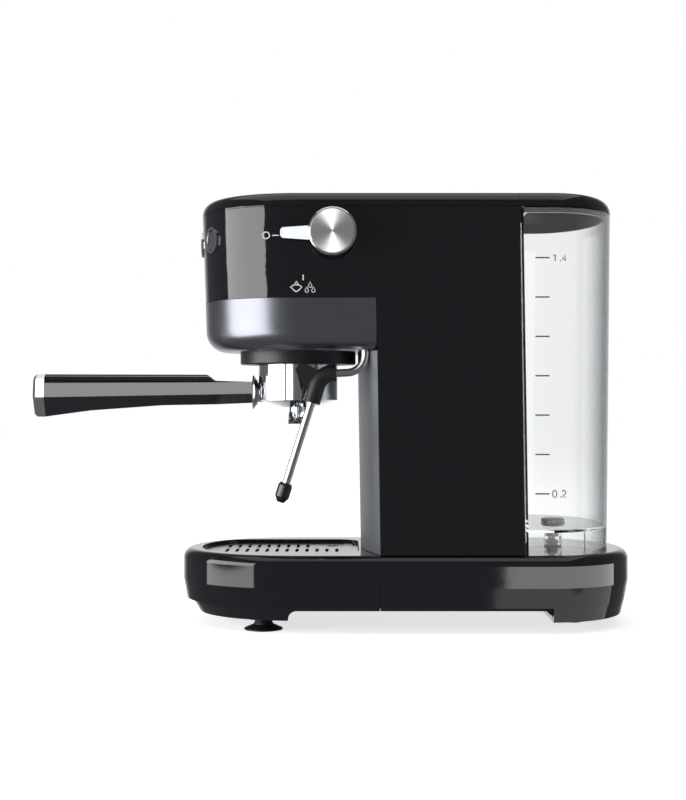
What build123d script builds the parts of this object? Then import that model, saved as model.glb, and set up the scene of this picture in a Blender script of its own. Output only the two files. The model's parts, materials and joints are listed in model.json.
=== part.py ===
from build123d import *
from math import cos, hypot, radians, sin, tan
import os

# A slim pump espresso machine, modelled piece by piece.
# Working frame: X is measured from the machine's mid-plane (plus X is the user's right),
# Y from the brewing group's axis (minus Y is towards the user), Z from the table. Millimetres.
# On export everything is shifted so that the origin lies at the bottom centre of the whole.

# ---------------------------------------------------------------- overall sizes
HEAD_W = 140.0            # width of head and column
BASE_W = 148.0            # width of the base
BASE_H = 54.0             # table to the base's deck
CUP_SPACE = 142.0         # deck to the head's underside
BAND_H = 36.0             # metallic band under the head
BAND_ROUND = 15.0         # rounding of its lower edge
PANEL_H = 62.7            # gloss head panel above the band
CAP_H = 10.3              # top cover and tank lid
CAP_ROUND = 9.4           # rounding of their top edge
BOWL_R = 29.1             # the filter holder's bowl; what fits round it follows
COLLAR_GAP = 13.7         # group collar to the column's front edge, at the band's top
COLUMN_DEPTH = 99.5       # side panel, front edge to rear edge
TANK_DEPTH = 72.5         # tank, front to rear, at its rim
BASE_NOSE = 83.7          # base ahead of the group axis
BASE_TAIL = 13.0          # base behind the tank
COLUMN_LEAN = 0.9         # degrees that the column's edges lean back going down
HEAD_LEAN = 2.0           # degrees that the head's front leans back going down
TANK_TAPER = 0.55         # degrees that the tank's rear draws in going down

PLATE_DEEP = 2.5          # recess of the cup plate
WALL = 2.5                # casing and cover walls
SEAM = 0.3                # gap between covers, and of every part that only rests on another
SLIDE = 0.6               # gap round a part that slides or lifts out
FIT = 0.05                # radial clearance of a turning or sliding shaft

# ---------------------------------------------------------------- levels and stations
DECK_Z = BASE_H
BAND_Z = DECK_Z + CUP_SPACE
PANEL_Z = BAND_Z + BAND_H
CAP_Z = PANEL_Z + PANEL_H
TOP_Z = CAP_Z + CAP_H
HEAD_R = HEAD_W / 2
EAR_R = BOWL_R + 5.5      # the bowl's bayonet ears
EAR_CHAMBER = EAR_R + SLIDE  # space that they turn in
COLLAR_R = EAR_CHAMBER + 7.1
COLUMN_FRONT = COLLAR_R + COLLAR_GAP
COLUMN_REAR = COLUMN_FRONT + COLUMN_DEPTH
TANK_REAR = COLUMN_REAR + TANK_DEPTH
BASE_REAR = TANK_REAR + BASE_TAIL
IN_X = HEAD_R - WALL      # inside face of the side panels


def column_front(z):
    """Y of the side panel's front edge at height z."""
    return COLUMN_FRONT + (PANEL_Z - z) * tan(radians(COLUMN_LEAN))


def column_rear(z):
    """Y of the side panel's rear edge at height z."""
    return column_front(z) + COLUMN_DEPTH


def head_centre(z):
    """Y of the centre of the head's round front at height z."""
    return (CAP_Z - z) * tan(radians(HEAD_LEAN))


# ---------------------------------------------------------------- base
SPLIT_Y = column_front(DECK_Z)      # seam between drip tray body and base housing
BASE_ROUND = 7.0                    # rounding of the base's top edge
CREASE_Z = 32.0                     # below it the base's side draws in
STEP_Z = 18.0                       # under side of the base's upper shell
BELLY_Z = 15.5                      # under side between the legs
BELLY_IN = 2.5                      # how far the side has drawn in at the step
PLINTH_IN = 6.0                     # legs start this far inside the outline
LEG_IN = 12.0                       # and end this far inside it
REAR_LEG_IN = 5.0                   # the rear legs stay nearer to it
FRONT_LEG_Z = 8.2
REAR_LEG_Z = 8.0
FRONT_LEG_END = -5.0                # the front leg's rear end
REAR_LEG_START = BASE_REAR - 63     # the rear leg's front end
LEG_ARC = 6.0                       # radius of the arch beside each leg
SKIRT = 3.0                         # wall of the base mouldings
REAR_ROUND = 63.0                   # length of the base's round rear end

COVER_OUT = 0.7                     # column cover's edges ahead of the side panels' front
COVER_BOW = 13.4                    # how far the cover bows towards the cup
TRAY_RIM = 24.0                     # base's side to the drip tray's mouth
TRAY_HALF = BASE_W / 2 - TRAY_RIM   # half width of the mouth
TRAY_FRONT = 13.7 - BASE_NOSE       # front of the mouth
TRAY_END = SPLIT_Y + COVER_OUT - COVER_BOW - 1.6    # rear of the mouth, ahead of the column cover
TRAY_LEDGE = 2.5                    # ledge that carries the grid
TRAY_FLOOR = 24.0                   # inside bottom of the tray
TRAY_WALL = 2.0
GRID_DROP = 3.2                     # deck to the grid's top face
GRID_T = 1.2
GRID_CORNER = 16.0
FLOAT_X = 20.0 - TRAY_HALF
FLOAT_Y = TRAY_END - 19.5
FLOAT_STEM = 4.0                    # radius of the float's pin
FLOAT_R = 11.0

GLAND_R = 5.5                       # strain relief bush of the mains lead
GLAND_X = -30.0
GLAND_Z = 36.0

TONGUE_HALF = BASE_W / 2 - 20       # the base plate's tongue under the tray
TONGUE_FRONT = 23.7 - BASE_NOSE
PLATE_T = 3.0
FOOT_X = TONGUE_HALF - 9
FOOT_Y = TONGUE_FRONT + 37
CUP_R = 13.5                        # suction foot's lip radius
FOOT_BOSS = 10.0
FOOT_SEAT = 7.3                     # lower end of the boss, where the cup's neck bears
REAR_FOOT_R = 8.0
REAR_FOOT_X = 10.0                  # the rear pads stand close together, under the middle
REAR_FOOT_Y = REAR_LEG_START + 22

# ---------------------------------------------------------------- brewing group
COLLAR_H = 8.9
COLLAR_BORE = BOWL_R + 1.5          # lip that the ears rest on
LIP_H = 2.5
EAR_H = 3.2
EAR_ANGLE = 22.0                    # half width of an ear, degrees
UNLOCK = 45.0                       # turn from locked to released, degrees
BOWL_IN = BOWL_R - 2.6
BASKET_R = BOWL_IN - 0.9
BASKET_T = 0.8
BASKET_DEEP = 23.0
GASKET_OUT = BOWL_R + 0.8           # the gasket covers the bowl's rim
GASKET_IN = BASKET_R - 2.3
GASKET_H = 5.2
GROUP_BORE = GASKET_OUT + 2.1       # group head's lower spigot radius
SCREEN_R = GASKET_IN - 0.7
BOWL_H = 31.4                       # rim to the foot of the cylinder
BOWL_FLOOR = 4.6
CONE_H = 5.2
CONE_R = 12.0
SPOUT_REACH = 21.0
SPOUT_W = 12.9
SPOUT_H = 13.0

NECK_DROP = 20.1                    # collar's under side to the holder's neck axis
HANDLE_END = 193.0                  # group axis to the handle's end
END_CAP = 8.3
NECK_Y = BOWL_R + 4.1               # group axis to the start of the grip
NECK_RING = 3.6
NECK_R = 8.6
FLARE_R = 12.4                      # the ring flares to this against the grip

# ---------------------------------------------------------------- controls
KNOB_Y = 25.9
KNOB_DROP = 19.3                    # cap seam to the knob's axis
KNOB_R = 16.5
KNOB_FACE_R = 15.1
KNOB_GAP = 0.8
KNOB_OUT = 21.0                     # panel to the knob's face
LEVER_REACH = 35.7
LEVER_ROOT = 8.6
LEVER_TIP = 7.2
LEVER_T = 6.0
STEM_R = 3.0

BUTTON_DROP = 19.7
BUTTON_R = 7.1
BUTTON_STEP = 30.0                  # degrees between neighbouring buttons
BUTTON_TRAVEL = 1.6
BEZEL_TUBE = BUTTON_R + 0.9
BEZEL_R = BEZEL_TUBE + 1.2
BEZEL_PROUD = 1.2

WAND_NUT_R = 6.0                    # nut that the wand turns in
NUT_NECK = 4.6
WAND_X = HEAD_R - 19
WAND_R = 2.8
WAND_Y = COLUMN_FRONT - WAND_R - 4.8
WAND_DROP = 15.0                    # head's underside to the wand's level run
WAND_KNEE_Y = 17.2                  # corner of the pipe under the rubber sleeve
NECK_BEND = 13.0                    # the pipe's bends, under the head and in the sleeve
KNEE_BEND = 12.0
WAND_KNEE_DROP = 36.0               # head's underside to the grip's lower end
WAND_TIP_Y = -11.0
WAND_TIP_DROP = 106.2
WAND_GRIP_R = 6.0
WAND_TAB = [(-17.8, 3.2), (-15.0, 6.9), (-9.6, 7.0), (-2.0, 3.0), (-4.5, -8.0), (-9.8, -12.0)]    # thumb tab from the knee
NOZZLE_R = 5.0
NOZZLE_H = 14.0

# ---------------------------------------------------------------- tank
TANK_HALF = HEAD_R - 1.0
TANK_ROUND = 50.0
TANK_WALL = 2.2
TANK_SKIRT = 15.7                   # deck to the tank floor's under side
RIM_DROP = 0.8                      # cap seam to the tank's rim
VALVE_Y = COLUMN_REAR + 32.0
VALVE_R = 6.6                       # valve housing
VALVE_LIP = 1.0                     # how far it stands above the tank's floor
SPIGOT_R = 3.6
SPIGOT_H = 5.0
POPPET_LIFT = 3.0
LID_SKIRT = 3.0                     # lid's locating rim, below the tank's rim

# ---------------------------------------------------------------- inside
BOILER_R = COLLAR_R - 4.3
BOILER_LOW = 22.0
BOILER_TOP = 24.0
BOLT_R = COLLAR_R - 3.3             # bolt circle
BOLT = 2.0                          # bolt shank radius
PUMP_X = -12.0
PUMP_Y = COLUMN_REAR - 29.5
PUMP_R = 11.0
PUMP_H = 88.0
COIL = 36.0
COIL_H = 40.0
TUBE_R = 3.5

# ---------------------------------------------------------------- shift to the bottom centre
X_MID = (HEAD_R + KNOB_OUT - BASE_W / 2) / 2
Y_MID = (BASE_REAR - HANDLE_END) / 2


# ---------------------------------------------------------------- helpers
def plan(z, half, front, rear, front_round=0.0, rear_round=0.0):
    """Face at height z with straight sides; each end is square or half an ellipse."""
    y0 = front + front_round
    y1 = rear - rear_round
    edges = [Line((half, y0), (half, y1)), Line((-half, y1), (-half, y0))]
    if front_round:
        edges.append(EllipticalCenterArc((0, y0), half, front_round, 180, arc_size=180))
    else:
        edges.append(Line((-half, y0), (half, y0)))
    if rear_round:
        edges.append(EllipticalCenterArc((0, y1), half, rear_round, 0, arc_size=180))
    else:
        edges.append(Line((half, y1), (-half, y1)))
    return Pos(0, 0, z) * make_face(edges)


def skin(*faces):
    """Solid with straight walls through faces of one kind, lowest first."""
    return loft(list(faces), ruled=True)


def prism_x(points, half):
    """Solid of a side outline, given as (y, z) points, to both sides of the mid-plane."""
    return extrude(Plane.YZ * make_face(Polyline(*points, close=True)), half, both=True)


def block(x0, x1, y0, y1, z0, z1):
    """Box between two corners."""
    return Pos((x0 + x1) / 2, (y0 + y1) / 2, (z0 + z1) / 2) * Box(x1 - x0, y1 - y0, z1 - z0)


def rod(radius, z0, z1, x=0.0, y=0.0):
    """Upright cylinder from z0 to z1."""
    return Pos(x, y, (z0 + z1) / 2) * Cylinder(radius, z1 - z0)


def ring(outer, inner, z0, z1, x=0.0, y=0.0):
    """Upright ring from z0 to z1."""
    return rod(outer, z0, z1, x, y) - rod(inner, z0 - 1, z1 + 1, x, y)


def rod_x(radius, x0, x1, y, z):
    """Cylinder along X from x0 to x1."""
    return Pos((x0 + x1) / 2, y, z) * Rot(0, 90, 0) * Cylinder(radius, x1 - x0)


def rod_y(radius, y0, y1, x, z):
    """Cylinder along Y from y0 to y1."""
    return Pos(x, (y0 + y1) / 2, z) * Rot(90, 0, 0) * Cylinder(radius, y1 - y0)


def top_edges(solid, z):
    """Edges of a solid that lie at height z."""
    return solid.edges().filter_by(lambda e: abs(e.center().Z - z) < 0.01 and e.bounding_box().size.Z < 0.01)


def hose(points, bend, radius):
    """Round bar along straight runs joined by bends; bend is one radius or a list of them."""
    path = FilletPolyline(*points, radius=bend)
    start = Plane(origin=path @ 0, z_dir=path % 0)
    return sweep(start * Circle(radius), path)


# ---------------------------------------------------------------- casing
def head_plan(z, grow=0.0, lean=0.0):
    """Head outline at height z, its round front a half circle that leans back going down."""
    centre = head_centre(z)
    half = HEAD_R + grow
    return plan(z, half, centre - half, column_rear(z) - lean, front_round=half)


def head_block(grow=0.0):
    """The head's outer shape between the band and the cap."""
    return skin(head_plan(PANEL_Z, grow), head_plan(CAP_Z, grow))


def column_side(z0, z1, front, rear):
    """Side outline of the column, leaning with its edges."""
    return [(column_front(z0) + front, z0), (column_front(z1) + front, z1),
            (column_rear(z1) + rear, z1), (column_rear(z0) + rear, z0)]


def button_place(index):
    """Axis of a button: out of the round front, button 0 in the middle."""
    z = CAP_Z - BUTTON_DROP
    return Pos(0, head_centre(z), z) * Rot(0, 0, index * BUTTON_STEP) * Rot(90, 0, 0)


def at_front(index, radius, r0, r1):
    """Cylinder on a button's axis between two distances from the head's centre."""
    return button_place(index) * Pos(0, 0, (r0 + r1) / 2) * Cylinder(radius, r1 - r0)


def casing():
    """One gloss moulding: the head's wrap-round wall and both side panels."""
    body = head_block()
    inner = [plan(z, IN_X, head_centre(z) - IN_X, column_rear(z) + WALL, front_round=IN_X)
             for z in (PANEL_Z - 1, CAP_Z + 1)]
    body -= skin(*inner)
    sides = prism_x(column_side(DECK_Z + SEAM, PANEL_Z, 0, 0), HEAD_R)
    gap = block(-IN_X, IN_X, COLUMN_FRONT - 20, COLUMN_REAR + 30, DECK_Z - 1, PANEL_Z + 1)
    body += sides - gap
    for i in (-1, 0, 1):
        body -= at_front(i, BEZEL_TUBE + SEAM, HEAD_R - 9, HEAD_R + 5)
    knob_hole = rod_x(STEM_R + 1.0, IN_X - 1, HEAD_R + 1, KNOB_Y, CAP_Z - KNOB_DROP)
    return body - knob_hole


def column_cover():
    """Metallic cover between the side panels, bowed towards the cup."""
    half = IN_X - SEAM
    z1 = BAND_Z - SEAM

    def bowed(z, inset):
        y = column_front(z) + COVER_OUT + inset
        arc = ThreePointArc((-half, y), (0, y - COVER_BOW), (half, y))
        lines = [arc, Line((half, y), (half, y + 9)), Line((half, y + 9), (-half, y + 9)),
                 Line((-half, y + 9), (-half, y))]
        return Pos(0, 0, z) * make_face(lines)

    body = skin(bowed(DECK_Z + SEAM, 0), bowed(z1, 0))
    hollow = skin(bowed(DECK_Z, WALL), bowed(z1 + 1, WALL))
    return body - hollow & block(-half, half, 0, 200, DECK_Z, z1)


def band_plan(z, grow=0.0, rear=0.0):
    """Band outline: the head's outline cut off at the column's front edge."""
    centre = head_centre(z)
    half = HEAD_R + grow
    return plan(z, half, centre - half, column_front(z) - SEAM + rear, front_round=half)


def head_band():
    """Metallic band round the head with a closed floor and a rounded lower edge."""
    outer = skin(band_plan(BAND_Z), band_plan(PANEL_Z - SEAM))
    rear_y = column_front(BAND_Z) - 1.0
    low = top_edges(outer, BAND_Z).filter_by(lambda e: e.center().Y < rear_y)
    outer = fillet(low, BAND_ROUND)
    inner = skin(band_plan(BAND_Z + WALL, -WALL, 4), band_plan(PANEL_Z + 1, -WALL, 4))
    inner = fillet(top_edges(inner, BAND_Z + WALL).filter_by(lambda e: e.center().Y < rear_y), BAND_ROUND - WALL)
    body = outer - inner
    body -= rod(GROUP_BORE + SEAM, BAND_Z - 1, BAND_Z + WALL + 1)
    for x, y in collar_spots():
        body -= rod(1.8, BAND_Z - 1, BAND_Z + WALL + 1, x, y)
    return body - rod(NUT_NECK + SEAM, BAND_Z - 1, BAND_Z + WALL + 1, WAND_X, WAND_Y)


def top_cover():
    """Cap over head and column with a shallow recess for the cup plate."""
    rear = column_rear(CAP_Z)
    body = extrude(plan(CAP_Z + SEAM, HEAD_R, -HEAD_R, rear, front_round=HEAD_R), CAP_H - SEAM)
    body = fillet(top_edges(body, TOP_Z).filter_by(lambda e: e.center().Y < rear - 1), CAP_ROUND)
    half = HEAD_R - 4
    under = plan(CAP_Z - 1, half, -half, rear - WALL, front_round=half)
    body -= extrude(under, CAP_H - WALL - PLATE_DEEP + 1)
    return body - extrude(cup_outline(TOP_Z - PLATE_DEEP, 0.0), 5)


def cup_outline(z, shrink):
    """Outline of the cup plate's recess."""
    half = HEAD_R - 14 - shrink
    return plan(z, half, -half, column_rear(CAP_Z) - 14 - shrink, front_round=half)


def cup_plate():
    """Brushed steel plate that warms cups over the boiler, with a pressed border."""
    body = extrude(cup_outline(TOP_Z - PLATE_DEEP, SEAM), 1.0)
    rim = extrude(cup_outline(TOP_Z - PLATE_DEEP, SEAM), PLATE_DEEP - 0.2)
    return body + (rim - extrude(cup_outline(TOP_Z - PLATE_DEEP - 1, SEAM + 1.2), 9))


def back_panel():
    """Rear wall of the column that the tank stands against."""
    z0 = DECK_Z + SEAM
    z1 = CAP_Z
    wall = [(column_rear(z0) - WALL, z0), (column_rear(z1) - WALL, z1), (column_rear(z1), z1), (column_rear(z0), z0)]
    return prism_x(wall, IN_X - SEAM)


# ---------------------------------------------------------------- base
def base_plan(z, inset):
    """Base outline at height z, drawn in by an inset."""
    half = BASE_W / 2 - inset
    nose = BASE_NOSE - inset
    return plan(z, half, -nose, BASE_REAR - inset, front_round=nose, rear_round=REAR_ROUND - inset)


def base_shape():
    """The base's outer shape: rounded deck, sides that draw in, and a plinth for the legs."""
    upper = skin(base_plan(CREASE_Z, 0), base_plan(BASE_H, 0))
    upper = fillet(top_edges(upper, BASE_H), BASE_ROUND)
    lower = skin(base_plan(STEP_Z, BELLY_IN), base_plan(CREASE_Z, 0))
    legs = skin(base_plan(REAR_LEG_Z, LEG_IN), base_plan(STEP_Z, PLINTH_IN))
    rear = skin(base_plan(REAR_LEG_Z, REAR_LEG_IN), base_plan(STEP_Z + 0.1, BELLY_IN))
    return upper + lower + legs + (rear & block(-BASE_W, BASE_W, REAR_LEG_START, BASE_REAR + 1, 0, BASE_H))


def base_room(leg_floor):
    """The space inside the base's walls, down to the legs' closed bottoms."""
    ledge = STEP_Z + SKIRT
    upper = skin(base_plan(CREASE_Z, SKIRT), base_plan(BASE_H - WALL, SKIRT + 1.0))
    lower = skin(base_plan(ledge, BELLY_IN + SKIRT), base_plan(CREASE_Z, SKIRT))
    legs = skin(base_plan(leg_floor + SKIRT, LEG_IN + SKIRT - 1.2), base_plan(ledge + 0.1, PLINTH_IN + SKIRT))
    return upper + lower + legs


def leg_arch():
    """Space under the belly between the front and rear legs, with round corners."""
    outline = Polyline((FRONT_LEG_END, REAR_LEG_Z - 9), (FRONT_LEG_END, BELLY_Z),
                       (REAR_LEG_START, BELLY_Z), (REAR_LEG_START, REAR_LEG_Z - 9), close=True)
    arch = extrude(Plane.YZ * make_face(outline), BASE_W, both=True)
    crown = arch.edges().filter_by(Axis.X).filter_by(lambda e: abs(e.center().Z - BELLY_Z) < 0.01)
    return fillet(crown, LEG_ARC)


def mouth(z, shrink, depth):
    """Upward slug of the tray's mouth outline from height z."""
    half = TRAY_HALF - shrink
    front = TRAY_FRONT + shrink
    rear = TRAY_END - shrink
    slug = extrude(plan(z, half, front, rear, front_round=half * 0.62), depth)
    corners = slug.edges().filter_by(Axis.Z).filter_by(lambda e: e.center().Y > rear - 1)
    return fillet(corners, GRID_CORNER - shrink)


def drip_tray():
    """Front of the base: a drawer with a skirt, a deck and a water basin."""
    ahead = block(-BASE_W, BASE_W, -BASE_W, SPLIT_Y - SEAM, FRONT_LEG_Z, BASE_H + 1)
    outer = base_shape() & ahead
    outer -= leg_arch()
    hollow = base_room(FRONT_LEG_Z) & block(-BASE_W, BASE_W, -BASE_W, SPLIT_Y - SEAM - SKIRT, 0, BASE_H)
    under = extrude(tongue_plan(0, 1.5, SPLIT_Y + 1), TRAY_FLOOR - TRAY_WALL)
    reach = FOOT_X + FOOT_BOSS + 1.5
    under += block(-reach, reach, FOOT_Y, SPLIT_Y, 0, TRAY_FLOOR - TRAY_WALL)
    for side in (-1, 1):
        under += rod(FOOT_BOSS + 1.5, 0, TRAY_FLOOR - TRAY_WALL, side * FOOT_X, FOOT_Y)
    body = outer - hollow - under
    body += mouth(TRAY_FLOOR - TRAY_WALL, -TRAY_WALL, BASE_H - TRAY_FLOOR + TRAY_WALL - 0.5)
    body -= mouth(TRAY_FLOOR, TRAY_LEDGE, 40)
    return body - mouth(BASE_H - GRID_DROP - GRID_T, 0, 20)


def grid_slots():
    """Slots across the grid in even rows."""
    rows = 12
    pitch = (TRAY_END - TRAY_FRONT - 34) / (rows - 1)
    z = BASE_H - GRID_DROP - GRID_T / 2
    cutters = []
    for row in range(rows):
        y = TRAY_FRONT + 18 + row * pitch
        for x in (-30, 0, 30):
            clear = hypot(x - FLOAT_X, y - FLOAT_Y) > FLOAT_STEM + 8
            if clear:
                cutters.append(Pos(x, y, z) * extrude(SlotOverall(22, 2.4), 4, both=True))
    return cutters


def drip_grid():
    """Slotted steel grid on the tray's ledge."""
    z0 = BASE_H - GRID_DROP - GRID_T
    plate = mouth(z0, 0.4, GRID_T)
    plate -= rod(FLOAT_STEM + 0.6, z0 - 1, z0 + 5, FLOAT_X, FLOAT_Y)
    return plate - grid_slots()


def level_float():
    """Float that stands in the basin and shows its pin through the grid when the tray is full."""
    base = ring(FLOAT_R, 1.2, TRAY_FLOOR + SEAM, TRAY_FLOOR + 8, FLOAT_X, FLOAT_Y)
    cap = rod(FLOAT_R, TRAY_FLOOR + 6, TRAY_FLOOR + 8, FLOAT_X, FLOAT_Y)
    pin = rod(FLOAT_STEM, TRAY_FLOOR + 7, BASE_H - GRID_DROP, FLOAT_X, FLOAT_Y)
    pin = fillet(top_edges(pin, BASE_H - GRID_DROP), 1.5)
    return base + cap + pin


def base_housing():
    """Rear of the base: deck, walls and rear legs, open below."""
    y0 = SPLIT_Y
    behind = block(-BASE_W, BASE_W, y0, BASE_REAR + 1, 0, BASE_H + 1)
    body = base_shape() & behind
    body -= leg_arch()
    body -= base_room(REAR_LEG_Z) & block(-BASE_W, BASE_W, y0 + SKIRT, BASE_REAR, 0, BASE_H)
    opening = base_plan(BELLY_Z - 1, PLINTH_IN + SKIRT + 1.0)
    body -= extrude(opening, PLATE_T + 4) & block(-BASE_W, BASE_W, y0 + SKIRT, REAR_LEG_START, 0, 90)
    body -= block(-TONGUE_HALF - 1, TONGUE_HALF + 1, y0 - 1, y0 + SKIRT + 1, -10, BELLY_Z + PLATE_T + SEAM)
    for x, y in plate_spots():
        body += rod(4.0, BELLY_Z + PLATE_T + SEAM, BASE_H - WALL + 0.1, x, y)
        body -= rod(1.5, BELLY_Z, BELLY_Z + PLATE_T + 8, x, y)
    body -= rod(SPIGOT_R + 0.2, BASE_H - 5, BASE_H + 1, 0, VALVE_Y)
    body -= rod(TUBE_R + 1.0, BASE_H - 5, BASE_H + 1, PUMP_X, PUMP_Y)
    return body - rod_y(GLAND_R + 0.2, BASE_REAR - 40, BASE_REAR + 5, GLAND_X, GLAND_Z)


def tongue_plan(z, grow, rear):
    """Outline of the bottom cover's tongue under the tray, with a round front."""
    half = TONGUE_HALF + grow
    return plan(z, half, TONGUE_FRONT - grow, rear, front_round=half)


def base_plate():
    """Bottom cover with a tongue that reaches forward under the tray."""
    z0 = BELLY_Z
    rear = extrude(base_plan(z0, PLINTH_IN + SKIRT + 1.0 + SEAM), PLATE_T)
    plate = rear & block(-BASE_W, BASE_W, SPLIT_Y + SKIRT + SEAM, REAR_LEG_START - SEAM, 0, 90)
    plate += extrude(tongue_plan(z0, 0, SPLIT_Y + SKIRT + 5), PLATE_T)
    for side in (-1, 1):
        plate += rod(FOOT_BOSS, FOOT_SEAT, z0 + 1, side * FOOT_X, FOOT_Y)
        plate -= rod(3.0, FOOT_SEAT - 1, z0 - 3, side * FOOT_X, FOOT_Y)
    for x, y in plate_spots():
        plate -= rod(1.8, z0 - 1, z0 + PLATE_T + 1, x, y)
    return plate


def suction_feet():
    """Two rubber suction cups on short necks."""
    profile = Polyline((0, 1.6), (6.0, 1.6), (CUP_R, 0.0), (CUP_R, 0.9), (7.0, 3.8), (5.6, FOOT_SEAT - 0.3),
                       (3.0, FOOT_SEAT - 0.3), (3.0, 11.5), (0, 11.5), close=True)
    cup = revolve(Plane.XZ * make_face(profile), Axis.Z)
    return [Pos(side * FOOT_X, FOOT_Y, 0) * cup for side in (-1, 1)]


def rear_feet():
    """Two rubber pads under the rear legs."""
    pad = fillet(rod(REAR_FOOT_R, 0, REAR_LEG_Z).edges(), 1.0)
    return [Pos(side * REAR_FOOT_X, REAR_FOOT_Y, 0) * pad for side in (-1, 1)]


def screw(head_r, head_h, shank_r, length):
    """Pan head screw that points up, its head's top at zero."""
    body = rod(head_r, 0, head_h) + rod(shank_r, head_h, head_h + length)
    return body - block(-head_r * 0.7, head_r * 0.7, -0.5, 0.5, -0.1, head_h * 0.5)


def plate_spots():
    """Centres of the bottom cover's five screws."""
    sides = [(side * (BASE_W / 2 - 22), y) for side in (-1, 1) for y in (SPLIT_Y + 26, REAR_LEG_START - 12)]
    return sides + [(0, SPLIT_Y + 26)]


def base_screws():
    """Screws that hold the bottom cover to the housing."""
    return [Pos(x, y, BELLY_Z - 1.6) * screw(3.2, 1.6, 1.5, 10) for x, y in plate_spots()]


def cord_gland():
    """Moulded strain relief bush in the base's rear wall."""
    y1 = BASE_REAR - 1.0
    bush = rod_y(GLAND_R, y1 - 16, y1 - 1, GLAND_X, GLAND_Z)
    collar = rod_y(GLAND_R + 2.0, y1 - 20, y1 - 16, GLAND_X, GLAND_Z)
    return bush + collar - rod_y(3.4, y1 - 30, y1 + 5, GLAND_X, GLAND_Z)


# ---------------------------------------------------------------- brewing group
COLLAR_Z = BAND_Z - COLLAR_H
EAR_Z = COLLAR_Z + LIP_H + SEAM
RIM_Z = EAR_Z + EAR_H - 0.8         # the bowl's rim, which carries the basket's flange
FLANGE_Z = RIM_Z + BASKET_T         # top of the basket's flange
GASKET_Z = FLANGE_Z + SEAM
HEAD_Z = BAND_Z + WALL              # the group head's flange sits on the band's floor
FLANGE_T = 5.5
BOILER_Z = HEAD_Z + FLANGE_T


def sector(radius, half_angle, z0, z1, turn):
    """Wedge about the group axis, centred on plus X and then turned."""
    a = radians(half_angle)
    far = radius / cos(a)
    wedge = Polyline((0, 0), (far * cos(a), -far * sin(a)), (far * 1.1, 0),
                     (far * cos(a), far * sin(a)), close=True)
    return Rot(0, 0, turn) * Pos(0, 0, z0) * extrude(make_face(wedge), z1 - z0)


def group_collar():
    """Bayonet ring: a lip with two notches under a chamber for the holder's ears."""
    body = ring(COLLAR_R, COLLAR_BORE, COLLAR_Z, BAND_Z)
    body = chamfer(top_edges(body, COLLAR_Z).sort_by(SortBy.LENGTH)[-1], 0.8)
    body -= rod(EAR_CHAMBER, COLLAR_Z + LIP_H, BAND_Z + 1)
    for turn in (-UNLOCK, 180 - UNLOCK):
        notch = sector(EAR_CHAMBER + 5, EAR_ANGLE + 3, COLLAR_Z - 1, COLLAR_Z + LIP_H + 1, turn)
        body -= notch & rod(EAR_CHAMBER, COLLAR_Z - 1, BAND_Z)
    for x, y in collar_spots():
        body -= rod(1.7, COLLAR_Z - 1, BAND_Z + 1, x, y)
        body -= rod(3.4, COLLAR_Z - 1, COLLAR_Z + 2.2, x, y)
    return body


def collar_spots():
    """Centres of the three screws that hold the collar."""
    r = (COLLAR_R + EAR_CHAMBER) / 2
    return [(r * sin(radians(a)), -r * cos(radians(a))) for a in (60, 180, 300)]


def collar_screws():
    """Screws through the collar, the band's floor and the group head's flange."""
    return [Pos(x, y, COLLAR_Z + 0.6) * screw(3.0, 1.6, 1.5, 14) for x, y in collar_spots()]


def group_head():
    """Cast disc that carries the gasket and the shower screen under the boiler."""
    body = rod(COLLAR_R, HEAD_Z, BOILER_Z)
    body += rod(GROUP_BORE, GASKET_Z + 0.6, HEAD_Z + 1)
    body -= rod(GASKET_OUT + 0.1, GASKET_Z, GASKET_Z + GASKET_H)
    body -= rod(2.0, GASKET_Z, GASKET_Z + GASKET_H + 4)
    for x, y in collar_spots():
        body -= rod(1.6, HEAD_Z - 1, BOILER_Z + 1, x, y)
    for x, y in bolt_spots():
        body -= rod(BOLT + 0.3, HEAD_Z - 1, BOILER_Z + 1, x, y)
    return body


def group_gasket():
    """Rubber ring that the basket's rim is pressed against."""
    return ring(GASKET_OUT, GASKET_IN, GASKET_Z, GASKET_Z + GASKET_H)


def shower_screen():
    """Perforated disc that spreads the water, held by its middle screw."""
    top = GASKET_Z + GASKET_H
    disc = ring(SCREEN_R, 2.2, top - 2.0, top - 1.0)
    boss = ring(8, 2.2, top - 1.0, top)
    for radius, count in ((9.4, 10), (13.0, 16), (18.0, 24)):
        for i in range(count):
            a = radians(360 * i / count)
            disc -= rod(0.8, top - 3, top - 0.9, radius * cos(a), radius * sin(a))
    return disc + boss


def screen_screw():
    """Screw in the middle of the shower screen."""
    top = GASKET_Z + GASKET_H
    return Pos(0, 0, top - 3.4) * screw(4.5, 1.4, 1.9, 6)


def bolt_spots():
    """Centres of the boiler's four bolts."""
    return [(BOLT_R * cos(radians(a)), BOLT_R * sin(radians(a))) for a in (20, 160, 200, 340)]


# ---------------------------------------------------------------- filter holder
BOWL_Z = COLLAR_Z + 5.6 - BOWL_H    # foot of the bowl's cylinder
NECK_Z = COLLAR_Z - NECK_DROP


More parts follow.
